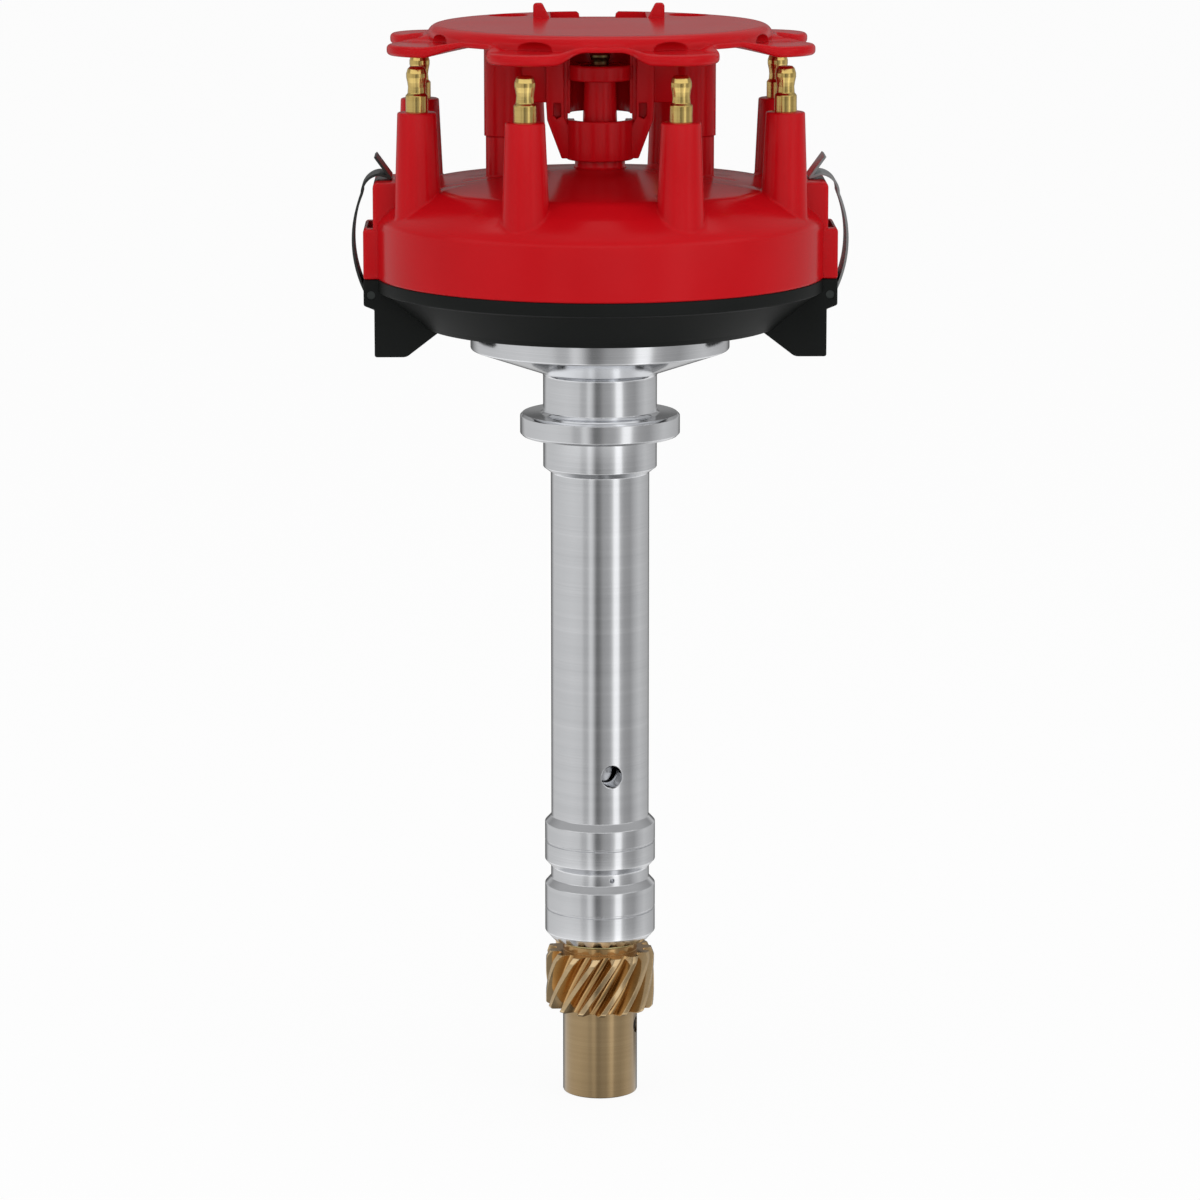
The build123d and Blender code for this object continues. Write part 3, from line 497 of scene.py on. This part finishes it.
def both(base, made, operation="UNION"):
    """Join or cut a solid and its mirror image."""
    other = mirrored(made)
    combined(base, made, operation)
    return combined(base, other, operation)


rim_r, rim_z, lug_x, lug_top, latch_half = 64.1, 46.3, 67.0, 46.25, 12.5
bowl_hole_r, bowl_floor, lip_outer_r, lip_inner_r, lip_top = 17.5, 35.5, 60.2, 57.8, 49.3
bowl_rows = np.array([
    (bowl_hole_r, flange_top, 0), (50.5, flange_top, 0.5), (52.0, 33.6, 0.5), (62.3, 42.1, 0.3),
    (rim_r, 42.7, 0.5), (rim_r, rim_z, 0.4), (lip_outer_r, rim_z, 0), (lip_outer_r, lip_top, 0.3),
    (lip_inner_r, lip_top, 0.3), (lip_inner_r, 42.7, 0.5), (48.6, bowl_floor, 0.5),
    (bowl_hole_r, bowl_floor, 0),
])
bowl = turned("base_bowl_shell", rounded(bowl_rows[:, :2], bowl_rows[:, 2], 3), 256)
# The lug and its foot as (x, height, corner radius).
lug_rows = np.array([
    (44.5, 34.1, 0), (58.1, lug_top, 0), (lug_x, lug_top, 0.65), (lug_x, 38.8, 0.8), (64.0, 37.6, 0.4),
    (64.0, 24.1, 0.65), (55.0, 24.1, 3.0), (44.5, 32.15, 0.3),
])
both(bowl, slab("latch lug", rounded(lug_rows[:, :2], lug_rows[:, 2], 5), latch_half, 0.6))
inside = turned("bowl inside", [(0, 35.52), (48.58, 35.52), (57.78, 42.72), (57.78, 47.3), (0, 47.3)], 256)
combined(bowl, inside, "DIFFERENCE")
slot_rows = rounded(box_outline(62.3, 68.0, 36.3, 47.3), [0.6, 0, 0, 0], 3)
both(bowl, slab("latch slot", slot_rows, 7.1, 0.3), "DIFFERENCE")
latch_x, latch_z, pin_bore_r = 64.9, 41.8, 1.25
both(bowl, drill("pin bore", pin_bore_r, (latch_x, -14, latch_z), (latch_x, 14, latch_z), 24), "DIFFERENCE")
screw_ring, screw_hole_r = 26, 2.7
for turn in (45, 135, 225, 315):
    screw_ends = polar(screw_ring, turn, 31), polar(screw_ring, turn, 37)
    combined(bowl, drill("screw hole", screw_hole_r, *screw_ends, 24), "DIFFERENCE")
black_nylon = moulded("matt black nylon", (0.006, 0.007, 0.0065), (0.011, 0.012, 0.0115), (0.42, 0.52),
                      scale=1600.0, bump=0.35, Specular_IOR_Level=0.07)
bowl.data.materials.append(black_nylon)
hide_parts("base_bowl")
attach(bowl, "distributor")
zinc = moulded("zinc plated steel", (0.42, 0.42, 0.40), (0.55, 0.55, 0.52), (0.28, 0.4), metallic=1.0)
dress(zinc, "base_screws", "rotor_screws")

# ---------------------------------------------------------------------------------------------
# Cap: glass-filled polyester moulded red, a domed shell on the rim of the bowl. Eight plug
# towers and a centre tower stand on it, with two posts for the retainer and a block on each
# side for the latch to hook over.
# ---------------------------------------------------------------------------------------------
# The deck as (radius, height), from the axis out to the rim.
deck_line = np.array([
    (0.0, 76.9), (8.0, 76.7), (12.0, 76.35), (40.0, 73.4), (49.4, 72.4), (50.7, 72.2), (51.8, 71.75),
    (52.8, 71.2), (57.0, 68.65), (58.0, 67.95), (61.0, 65.5), (62.2, 64.45), (63.2, 63.35),
    (63.85, 62.3), (rim_r, 61.2),
])
tower_ring, tower_high, coil_high, terminal_bore_r = 55.6, 94.4, 103.0, 2.0
post_x, post_r, post_high = 27.4, 4.95, 85.8
tower_turns = [22.5 + 45 * k for k in range(8)]


def deck_height(x, y):
    """Height of the cap's outside at a point: the deck line read at the distance from the axis."""
    return np.interp(np.hypot(x, y), deck_line[:, 0], deck_line[:, 1])


def standing(name, x0, y0, foot_r, flare, top_r, top_z, sink_z, edge=0.5):
    """Tapered pillar whose foot follows the dome. Round the foot, ring a has radius foot +
    flare (1 - sin a) and lies flare (1 - cos a) above the deck at its own points, so it runs out
    tangent to the deck. Above that it tapers straight to a rounded top."""
    t = np.linspace(0, 2 * math.pi, 72, endpoint=False)
    a = np.linspace(0, math.pi / 2, 7)[:, None]
    radius = foot_r + flare * (1 - np.sin(a))
    x, y = x0 + radius * np.cos(t), y0 + radius * np.sin(t)
    z = deck_height(x, y) + flare * (1 - np.cos(a)) - 0.05
    foot = np.stack([x, y, z], -1)
    r = np.array([foot_r - 1.0, top_r, top_r - 0.3 * edge, top_r - edge])[:, None]
    z = np.array([sink_z, top_z - edge, top_z - 0.3 * edge, top_z])[:, None]
    flat = np.stack([x0 + r * np.cos(t), y0 + r * np.sin(t), z + 0 * t], -1)
    under = foot[:1] - (0, 0, 1.0)
    rings = np.concatenate([flat[:1], under, foot, flat[1:]])
    return piece(name, rings.reshape(-1, 3), skin(rings, "capped"), 40.0)


shell_rows = np.concatenate([deck_line, [(rim_r, 46.6), (63.8, rim_z), (0.0, rim_z)]])
cap = turned("cap_shell", shell_rows, 256)
boss_rows = rounded(box_outline(60.6, lug_x, rim_z, 60.5), [0, 0.75, 0.9, 0])
both(cap, slab("latch boss", boss_rows, latch_half, 0.7))
ear_corners = [(47.0, 70.9), (58.1, 59.6), (64.2, 59.5), (64.2, 73.6), (47.0, 73.6)]
both(cap, slab("latch ear", rounded(ear_corners, [0, 0, 0, 1.5, 0], 6), latch_half, 1.0, 4))
both(cap, slab("latch pocket", box_outline(64.2, 66.0, 53.5, 61.5), 8.5, 0.3), "DIFFERENCE")
both(cap, standing("retainer post", post_x, 0, post_r, 0.6, post_r, post_high, 74.0, 0.2))
both(cap, drill("post spigot", 2.4, (post_x, 0, 80), (post_x, 0, 89.8)))
for turn in tower_turns:
    x, y, _ = polar(tower_ring, turn, 0)
    combined(cap, standing("plug tower", x, y, 6.5, 0.7, 5.5, tower_high, 62.0), "UNION")
combined(cap, standing("coil tower foot", 0, 0, 7.1, 0.8, 7.1, 82.0, 74.0, 0.4), "UNION")
combined(cap, drill("coil tower", (5.3, 4.4), (0, 0, 76), (0, 0, coil_high)), "UNION")
cavity_rows = [(0, 45), (60.5, 45), (60.5, 60.8), (50.0, 68.3), (38.5, 71.3), (0, 73.2)]
combined(cap, turned("cap cavity", cavity_rows, 256), "DIFFERENCE")
combined(cap, drill("brush guide", 6.2, (0, 0, 64.2), (0, 0, 74.2)), "UNION")
for turn in tower_turns:
    boss = drill("electrode boss", 4.0, polar(tower_ring, turn, 61.5), polar(tower_ring, turn, 65))
    combined(cap, boss, "UNION")
combined(cap, drill("brush bore", 2.46, (0, 0, 63), (0, 0, 72.2)), "DIFFERENCE")
combined(cap, drill("coil bore", terminal_bore_r, (0, 0, 71), (0, 0, 104)), "DIFFERENCE")
for turn in tower_turns:
    bore = drill("terminal bore", terminal_bore_r, polar(tower_ring, turn, 57), polar(tower_ring, turn, 96))
    combined(cap, bore, "DIFFERENCE")
cap_red = moulded("moulded red", (0.43, 0.003, 0.006), (0.49, 0.004, 0.008), (0.17, 0.23),
                  scale=700.0, bump=0.1, edge=0.0006, Specular_IOR_Level=0.14)
cap.data.materials.append(cap_red)
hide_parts("distributor_cap")
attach(cap, "distributor")

# ---------------------------------------------------------------------------------------------
# Terminals, brush and rotor. Each terminal is turned from brass bar with a collar, a waist and
# a bulb that the lead snaps over. The carbon brush rests on the rotor's brass strip.
# ---------------------------------------------------------------------------------------------
# The bulb as (radius, height above its seat, corner radius).
bulb_rows = np.array([
    (0, 0.0, 0), (3.15, 0.0, 0), (3.15, 4.6, 0.5), (2.55, 5.3, 0.5), (2.42, 7.0, 1.5), (2.6, 8.3, 1.5),
    (2.9, 9.7, 1.2), (2.9, 10.8, 1.0), (2.5, 12.1, 0.5), (1.9, 12.7, 0.3), (0, 12.7, 0),
])
shank_r, plug_length, coil_length = 1.97, 12.7, 6.5


def terminal(name, x0, y0, foot, seat, length, material):
    """Turned terminal at a tower: the bulb outline stretched to the length, above a shank that
    runs down through the tower. Each (r, z) is carried round the tower's own axis, as
    (x0 + r cos t, y0 + r sin t, z)."""
    shape = rounded(bulb_rows[:, :2], bulb_rows[:, 2], 4) * (1, length / bulb_rows[-1, 1]) + (0, seat)
    outline = np.concatenate([[(0, foot), (shank_r, foot), (shank_r, seat)], shape[1:]])
    t = np.linspace(0, 2 * math.pi, 64, endpoint=False)
    r, z = outline[:, :1], outline[:, 1:]
    rings = np.stack([x0 + r * np.cos(t), y0 + r * np.sin(t), z + 0 * t], -1)
    made = piece(name, rings.reshape(-1, 3), skin(rings, "open"))
    made.data.materials.append(material)
    return made


brass = machined("polished brass", (0.64, 0.45, 0.14), (0.78, 0.59, 0.22), (0.16, 0.24), bump=0.1)
# A darker copy of the brass, a painted shade, for the coil stud deep inside the retainer.
shaded_brass = machined("brass in painted shade", (0.16, 0.12, 0.05), (0.24, 0.19, 0.09), (0.3, 0.4))
for k, turn in enumerate(tower_turns):
    x, y, _ = polar(tower_ring, turn, 0)
    made = terminal(f"plug_terminal_{k + 1}", x, y, 57.5, tower_high, plug_length, brass)
    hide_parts("plug_terminals")
    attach(made, "distributor")
coil_stud = terminal("coil_terminal_stud", 0, 0, 72.2, coil_high, coil_length, shaded_brass)
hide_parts("coil_terminal")
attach(coil_stud, "distributor")
dress(brass, "rotor_blade")
dress(moulded("brush carbon", (0.012, 0.012, 0.013), (0.03, 0.03, 0.032), (0.45, 0.6), scale=2000.0),
      "carbon_brush")
dress(moulded("spring wire", (0.30, 0.30, 0.30), (0.42, 0.42, 0.42), (0.25, 0.35), metallic=1.0),
      "brush_spring")
dress(machined("turned rotor hub", (0.55, 0.56, 0.57), (0.70, 0.71, 0.73), (0.25, 0.35)), "rotor_hub")
dress(cap_red, "rotor_body")

# ---------------------------------------------------------------------------------------------
# Wire retainer: moulded red like the cap, on two legs over its posts. Its lid has a lobe above
# each plug tower with a scooped pocket, and low arches between them let the leads out.
# ---------------------------------------------------------------------------------------------
lid_r, lid_edge, lid_high, lid_inner, lid_roof = 48.8, 3.2, 117.3, 42.8, 114.5
ledge, lobe_centre, lobe_r, valley_r, lobe_low, lobe_high = 1.2, 51.4, 12.2, 4.5, 110.2, 113.2
shelf_rise, rim_rise, inner_rise, gap_half, lobe_half = 1.4, 2.9, 2.6, 4.6, 13.0


def lobed_outline():
    """One eighth of the lid's outline, repeated round: an arc of the lobe's radius about its
    centre, then a hollow arc that meets it and the disc tangentially, where the two arc centres
    are the sum of their radii apart and the hollow's centre is its radius beyond the disc,
    then the disc itself."""
    disc_r = lid_r + ledge
    far, near = disc_r + valley_r, lobe_r + valley_r
    swing = math.acos((far ** 2 + lobe_centre ** 2 - near ** 2) / (2 * far * lobe_centre))
    hollow = far * np.array([math.cos(swing), math.sin(swing)])
    lobe = np.array([lobe_centre, 0])
    tilt = math.atan2(*(hollow - lobe)[::-1])
    t = np.linspace(0, tilt, 26)[:, None]
    outer = lobe + lobe_r * np.hstack([np.cos(t), np.sin(t)])
    t = np.linspace(tilt - math.pi, swing - math.pi, 10)[1:, None]
    valley = hollow + valley_r * np.hstack([np.cos(t), np.sin(t)])
    t = np.linspace(swing, math.pi / 8, 10)[1:, None]
    disc = disc_r * np.hstack([np.cos(t), np.sin(t)])
    half = np.concatenate([outer, valley, disc])
    eighth = np.concatenate([half[:0:-1] * (1, -1), half[:-1]])
    turns = np.exp(1j * np.radians(22.5 + 45 * np.arange(8)))[:, None]
    around = (eighth[:, 0] + 1j * eighth[:, 1]) * turns
    return np.stack([around.ravel().real, around.ravel().imag], -1)


def lid_rings():
    """The lid as one closed skin over the lobed outline and discs at the same angles. Between
    two lobes the shelf and the rim rise with (1 + cos(pi w)) / 2, where w goes from 0 to 1
    between gap_half and lobe_half beside the gap's centre line. Rings go out over the flat top,
    round its edge, along the shelf, round the rim, and back under the roof to the axis."""
    out = lobed_outline()
    reach = np.hypot(*out.T)
    unit = out / reach[:, None]
    normal = np.roll(out, -1, 0) - np.roll(out, 1, 0)
    normal = np.stack([normal[:, 1], -normal[:, 0]], -1)
    normal /= np.linalg.norm(normal, axis=1)[:, None]
    angle = np.degrees(np.arctan2(unit[:, 1], unit[:, 0]))
    across = np.abs(np.sin(np.radians((angle + 22.5) % 45 - 22.5)))
    w = np.clip((reach * across - gap_half) / (lobe_half - gap_half), 0, 1)
    rise = (1 + np.cos(math.pi * w)) / 2
    shelf, low, low_in = lobe_high + shelf_rise * rise, lobe_low + rim_rise * rise, lobe_low + inner_rise
    curl = (1.15 - 0.5 * rise)[:, None]
    ones = np.ones(len(out))
    rings = []

    def ring(flat, z):
        rings.append(np.column_stack([flat, z * ones]))

    quarter = np.linspace(0, math.pi / 2, 6)
    ring(unit * 0, lid_high)
    for share in (0.35, 0.7, 0.9):
        ring(unit * share * (lid_r - lid_edge), lid_high)
    for a in np.linspace(0, math.pi / 2, 10):
        edge_z = lid_high - lid_edge * (1 - math.cos(a))
        ring(unit * (lid_r - lid_edge * (1 - math.sin(a))), np.maximum(edge_z, shelf + 0.5))
    ring(unit * (lid_r + 0.12), shelf + 0.15)
    ring(unit * (lid_r + 0.45), shelf)
    for a in quarter:
        ring(out - curl * (1 - math.sin(a)) * normal, shelf - curl[:, 0] * (1 - math.cos(a)))
    for a in quarter:
        ring(out - curl * (1 - math.cos(a)) * normal, low + curl[:, 0] * (1 - math.sin(a)))
    ring(unit * (lid_inner + 0.4), low_in)
    ring(unit * lid_inner, low_in + 0.4)
    ring(unit * lid_inner, lid_roof - 0.8)
    ring(unit * (lid_inner - 0.25), lid_roof - 0.25)
    ring(unit * (lid_inner - 0.8), lid_roof)
    ring(unit * 0.5 * lid_inner, lid_roof)
    ring(unit * 0, lid_roof)
    return np.array(rings)


def shifted(made, y):
    """Move a piece's mesh along the front-to-back direction, in millimetres."""
    made.data.transform(Matrix.Translation((0, 0.001 * y, 0)))
    return made


rings = lid_rings()
retainer = piece("retainer_shell", rings.reshape(-1, 3), skin(rings, "open"))
scoop_ring, scoop_r, scoop_high, scoop_floor = 54.2, 7.6, 3.3, lobe_high - 0.02
above_lid, in_roof = 118.5, lid_roof + 0.1


def scoop_rings(x0, y0):
    """Domed pocket cutter on a lobe: at the share s of its height the radius is
    scoop_r sqrt(1 - s cubed)."""
    share = np.array([0, 0.12, 0.24, 0.36, 0.48, 0.6, 0.7, 0.8, 0.88, 0.95, 0.985, 1])[:, None]
    radius, z = scoop_r * np.sqrt(1 - share ** 3), scoop_floor + scoop_high * share
    t = np.linspace(0, 2 * math.pi, 64, endpoint=False)
    dome = np.stack([x0 + radius * np.cos(t), y0 + radius * np.sin(t), z + 0 * t], -1)
    floor_centre = dome[:1] * 0 + (x0, y0, scoop_floor)
    return np.concatenate([floor_centre, dome])


for turn in tower_turns:
    rings = scoop_rings(*polar(scoop_ring, turn, 0)[:2])
    combined(retainer, piece("lead scoop", rings.reshape(-1, 3), skin(rings, "open")), "DIFFERENCE")
recess = slab("back recess", box_outline(-13.8, 13.8, 115.3, above_lid), 12.0, 0.0)
combined(retainer, shifted(recess, 32.0), "DIFFERENCE")
notch_rows = [(-5.2, 115.5), (5.2, 115.5), (5.4, 116.6), (6.2, 117.32), (6.2, above_lid), (-6.2, above_lid),
              (-6.2, 117.32), (-5.4, 116.6)]
combined(retainer, shifted(slab("back notch", notch_rows, 4.0, 0.0), 47.0), "DIFFERENCE")
both(retainer, drill("dimple", 5.8, (26, 31, 115.9), (26, 31, above_lid)), "DIFFERENCE")
hub_tube = turned("hub tube", rounded(box_outline(8.5, 10.4, 92.0, in_roof), [0.3, 0.3, 0, 0]), 96)
open_front = slab("open front", box_outline(-12, 12, 91, 116), 6.0, 0.0)
combined(hub_tube, shifted(open_front, -7.2), "DIFFERENCE")
combined(retainer, hub_tube, "UNION")
strut_rows = rounded([(8.6, 79.4), (10.9, 79.4), (15.0, 90.3), (15.3, 95.1), (15.3, in_roof), (10.2, in_roof),
                      (10.2, 91.0), (8.6, 88.3)], [0.4, 0.5, 2.0, 2.0, 0, 0, 0.8, 0.6])
both(retainer, slab("side strut", strut_rows, 3.0, 0.4))
both(retainer, slab("strut lip", box_outline(9.1, 10.8, 88, in_roof), 1.6, 0.2))
window_rows = rounded([(11.0, 91.2), (12.4, 90.6), (13.2, 91.6), (13.2, 95.1), (11.0, 95.1)], [0.3] * 5)
for side in (-1, 1):
    both(retainer, shifted(slab("strut window", window_rows, 1.45, 0.1), 2.05 * side), "DIFFERENCE")
both(retainer, slab("leg web", box_outline(14.1, 23.0, 95.1, in_roof), 1.2, 0.3))
both(retainer, drill("leg", 5.4, (post_x, 0, post_high), (post_x, 0, in_roof), 64))
both(retainer, drill("leg socket", 2.5, (post_x, 0, 84.8), (post_x, 0, 90.3), 32), "DIFFERENCE")
fin_rows = rounded([(13.8, 116.8), (18.8, 116.8), (18.8, 121.5), (16.2, 121.5)], [0, 0, 1.0, 0.9])
both(retainer, shifted(slab("fin", fin_rows, 1.5, 0.5), 21.0))
ring_rows = rounded(box_outline(5.6, 8.7, 101.4, 105.8), [0.5, 0.5, 0.5, 0.5])
combined(retainer, turned("centre ring", ring_rows, 96), "UNION")
cup_rows = rounded(box_outline(7.6, 9.5, 79.0, 90.3), [0.4, 0.5, 0.3, 0.3])
combined(retainer, turned("cup", cup_rows, 96), "UNION")
cup_back = slab("cup back", box_outline(-8.6, 8.6, 88.2, 91.4), 3.9, 0.0)
combined(retainer, shifted(cup_back, 6.3), "DIFFERENCE")
retainer.data.materials.append(cap_red)
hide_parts("wire_retainer")
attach(retainer, "distributor")

# ---------------------------------------------------------------------------------------------
# Spring latches: a strip of spring steel on each side, curled round its pin and sprung over the
# block on the cap. Both are the same steel: the left one and the pins take a darker copy, a
# painted shade, and the right one a bright copy.
# ---------------------------------------------------------------------------------------------
# Two copies of one spring steel: the darker one is a painted shade, the brighter one a lit copy.
shaded_spring = moulded("spring steel in painted shade", (0.055, 0.062, 0.06), (0.10, 0.11, 0.105), (0.3, 0.42),
                      metallic=1.0, edge=0.00015)
bright_spring = moulded("bright spring steel", (0.42, 0.43, 0.43), (0.58, 0.59, 0.59), (0.22, 0.32),
                        metallic=1.0, edge=0.00015)
dress(shaded_spring, "latch_clip_left")
dress(bright_spring, "latch_clip_right")
dress(shaded_spring, "latch_pin_left", "latch_pin_right")

# ---------------------------------------------------------------------------------------------
# Setting: a pale floor under the gear hub, studio light from soft panels, and the camera.
# ---------------------------------------------------------------------------------------------
floor_z, floor_half = hub_low * 0.001 - 0.0002, 12
floor_corners = [(floor_half * x, floor_half * y, floor_z) for x, y in ((-1, -1), (1, -1), (1, 1), (-1, 1))]
floor_mesh = bpy.data.meshes.new("floor")
floor_mesh.from_pydata(floor_corners, [], [(0, 1, 2, 3)])
floor = bpy.data.objects.new("floor", floor_mesh)
bpy.context.scene.collection.objects.link(floor)
floor.visible_glossy = False
pale = bpy.data.materials.new("pale floor")
pale.use_nodes = True
tree = pale.node_tree
tree.nodes.clear()
matt = node(tree, "BsdfDiffuse", sockets={"Color": (0.8, 0.8, 0.8, 1)})
glow = node(tree, "Emission", sockets={"Color": (1, 1, 1, 1), "Strength": 1.0})
ray = node(tree, "LightPath")
seen = node(tree, "Math", [(ray.outputs["Is Camera Ray"], 0)], operation="MULTIPLY", sockets={1: 0.93})
blend = node(tree, "MixShader", [(seen.outputs[0], 0), (matt.outputs[0], 1), (glow.outputs[0], 2)])
node(tree, "OutputMaterial", [(blend.outputs[0], 0)])
floor_mesh.materials.append(pale)

world = bpy.data.worlds.new("studio")
world.use_nodes = True
bpy.context.scene.world = world
tree = world.node_tree
tree.nodes.clear()


def bands(value, low, high, stops):
    """Grey level read from a list of (position, level) stops along a value between two ends."""
    share = node(tree, "MapRange", [(value, 0)], sockets={1: low, 2: high})
    made = node(tree, "ValToRGB", [(share.outputs[0], 0)])
    ramp = made.color_ramp
    for position, level in stops:
        place = (position - low) / (high - low)
        stop = ramp.elements.new(place) if 0 < place < 1 else ramp.elements[0 if place == 0 else -1]
        stop.position = place
        stop.color = (level, level, level, 1)
    return made.outputs[0]


def combine(first, second, operation):
    """Result of a Math node on two outputs."""
    return node(tree, "Math", [(first, 0), (second, 1)], operation=operation).outputs[0]


place = node(tree, "TexCoord")
direction = node(tree, "SeparateXYZ", [(place.outputs["Generated"], 0)])
back_to_front = node(tree, "Math", [(direction.outputs["Y"], 0)], operation="MULTIPLY", sockets={1: -1.0})
forward = back_to_front.outputs[0]
height = direction.outputs["Z"]
azimuth = combine(direction.outputs["X"], forward, "ARCTAN2")
# Levels round the horizon, by the angle in degrees from -Y towards +X: a dark gap in front
# between two pale walls, a bright strip right of it, and a dark wall behind.
horizon_levels = (
    (-180, 0.08), (-160, 0.15), (-140, 0.62), (-70, 0.70), (-45, 0.66), (-38, 0.50), (-30, 0.50),
    (-24, 0.78), (-19, 0.70), (-14, 0.42), (-9, 0.17), (-2, 0.20), (6, 0.36), (20, 0.42), (28, 0.62),
    (33, 1.15), (43, 1.15), (48, 0.52), (58, 0.38), (74, 0.34), (88, 0.50), (104, 0.62), (120, 0.56),
    (150, 0.45), (165, 0.12), (180, 0.08),
)
front_levels = ((-180, 0), (-95, 0), (-75, 1), (75, 1), (95, 0), (180, 0))
around_horizon, in_front = [
    bands(azimuth, -math.pi, math.pi, [(math.radians(degrees), level) for degrees, level in levels])
    for levels in (horizon_levels, front_levels)
]
# The other levels go by the direction's height, or by how far it points forward, from -1 to 1.
near_horizon, front_box, above_below, high_up, low_back = [bands(height, -1, 1, levels) for levels in (
    [(-1, 0.3), (-0.7, 0.35), (-0.55, 1), (0.2, 1), (0.28, 0), (1, 0)],
    [(-1, 0), (0.22, 0), (0.3, 0.8), (0.52, 0.8), (0.6, 0), (1, 0)],
    [(-1, 0.1), (-0.88, 0.1), (-0.75, 0.5), (-0.4, 0.5), (-0.3, 0), (0.2, 0), (0.28, 0.3),
     (0.6, 0.45), (1, 0.45)],
    [(-1, 0), (0.82, 0), (0.87, 1), (1, 1)],
    [(-1, 0), (0.03, 0), (0.06, 0.2), (0.14, 0.2), (0.18, 0), (1, 0)],
)]
behind, back_box = [bands(forward, -1, 1, levels) for levels in (
    [(-1, 1), (-0.85, 1), (-0.7, 0), (1, 0)],
    [(-1, 0), (-0.5, 0), (-0.42, 1.4), (-0.17, 1.4), (-0.1, 0), (1, 0)],
)]
reflected = combine(around_horizon, near_horizon, "MULTIPLY")
reflected = combine(reflected, combine(front_box, in_front, "MULTIPLY"), "ADD")
reflected = combine(reflected, above_below, "ADD")
reflected = combine(reflected, combine(high_up, back_box, "MULTIPLY"), "ADD")
reflected = combine(reflected, combine(low_back, behind, "MULTIPLY"), "ADD")
seen_white = node(tree, "Background", sockets={"Color": (1, 1, 1, 1), "Strength": 1.0})
reflected_room = node(tree, "Background", [(reflected, "Color")])
room_light = node(tree, "Background", sockets={"Color": (1, 1, 1, 1), "Strength": 0.74})
ray = node(tree, "LightPath")
shine = node(tree, "MixShader", [(ray.outputs["Is Glossy Ray"], 0), (room_light.outputs[0], 1),
                                 (reflected_room.outputs[0], 2)])
sight = node(tree, "MixShader", [(ray.outputs["Is Camera Ray"], 0), (shine.outputs[0], 1),
                                 (seen_white.outputs[0], 2)])
node(tree, "OutputWorld", [(sight.outputs[0], 0)])


def panel(name, place, size, power):
    """Square soft panel at a place, turned to face the object. Reflections come from the room,
    so the panel itself is left out of them."""
    light = bpy.data.lights.new(name, "AREA")
    light.shape, light.size, light.energy = "SQUARE", size, power
    made = bpy.data.objects.new(name, light)
    made.location = place
    made.rotation_mode = "QUATERNION"
    made.rotation_quaternion = (-Vector(place)).to_track_quat("-Z", "Y")
    made.visible_glossy = False
    bpy.context.scene.collection.objects.link(made)


panel("front panel", (0.1, -1.6, 0.3), 1.0, 4.5)
panel("left panel", (-1.4, -1.0, 0.5), 0.9, 3.5)
panel("right panel", (1.4, -1.0, 0.5), 0.9, 4.5)
panel("top panel", (0.0, -0.3, 1.4), 1.0, 4.0)

lens = bpy.data.cameras.new("camera")
lens.lens, lens.sensor_width = 146.76, 36.0
camera = bpy.data.objects.new("camera", lens)
camera_turn, camera_tilt = math.radians(-0.95), math.radians(78.81)
camera_distance, camera_height = 1.385, 0.2255
camera.location = (camera_distance * math.sin(camera_turn), -camera_distance * math.cos(camera_turn),
                   camera_height)
camera.rotation_euler = (camera_tilt, 0, camera_turn)
bpy.context.scene.collection.objects.link(camera)
bpy.context.scene.camera = camera
bpy.context.scene.view_settings.view_transform = "Standard"
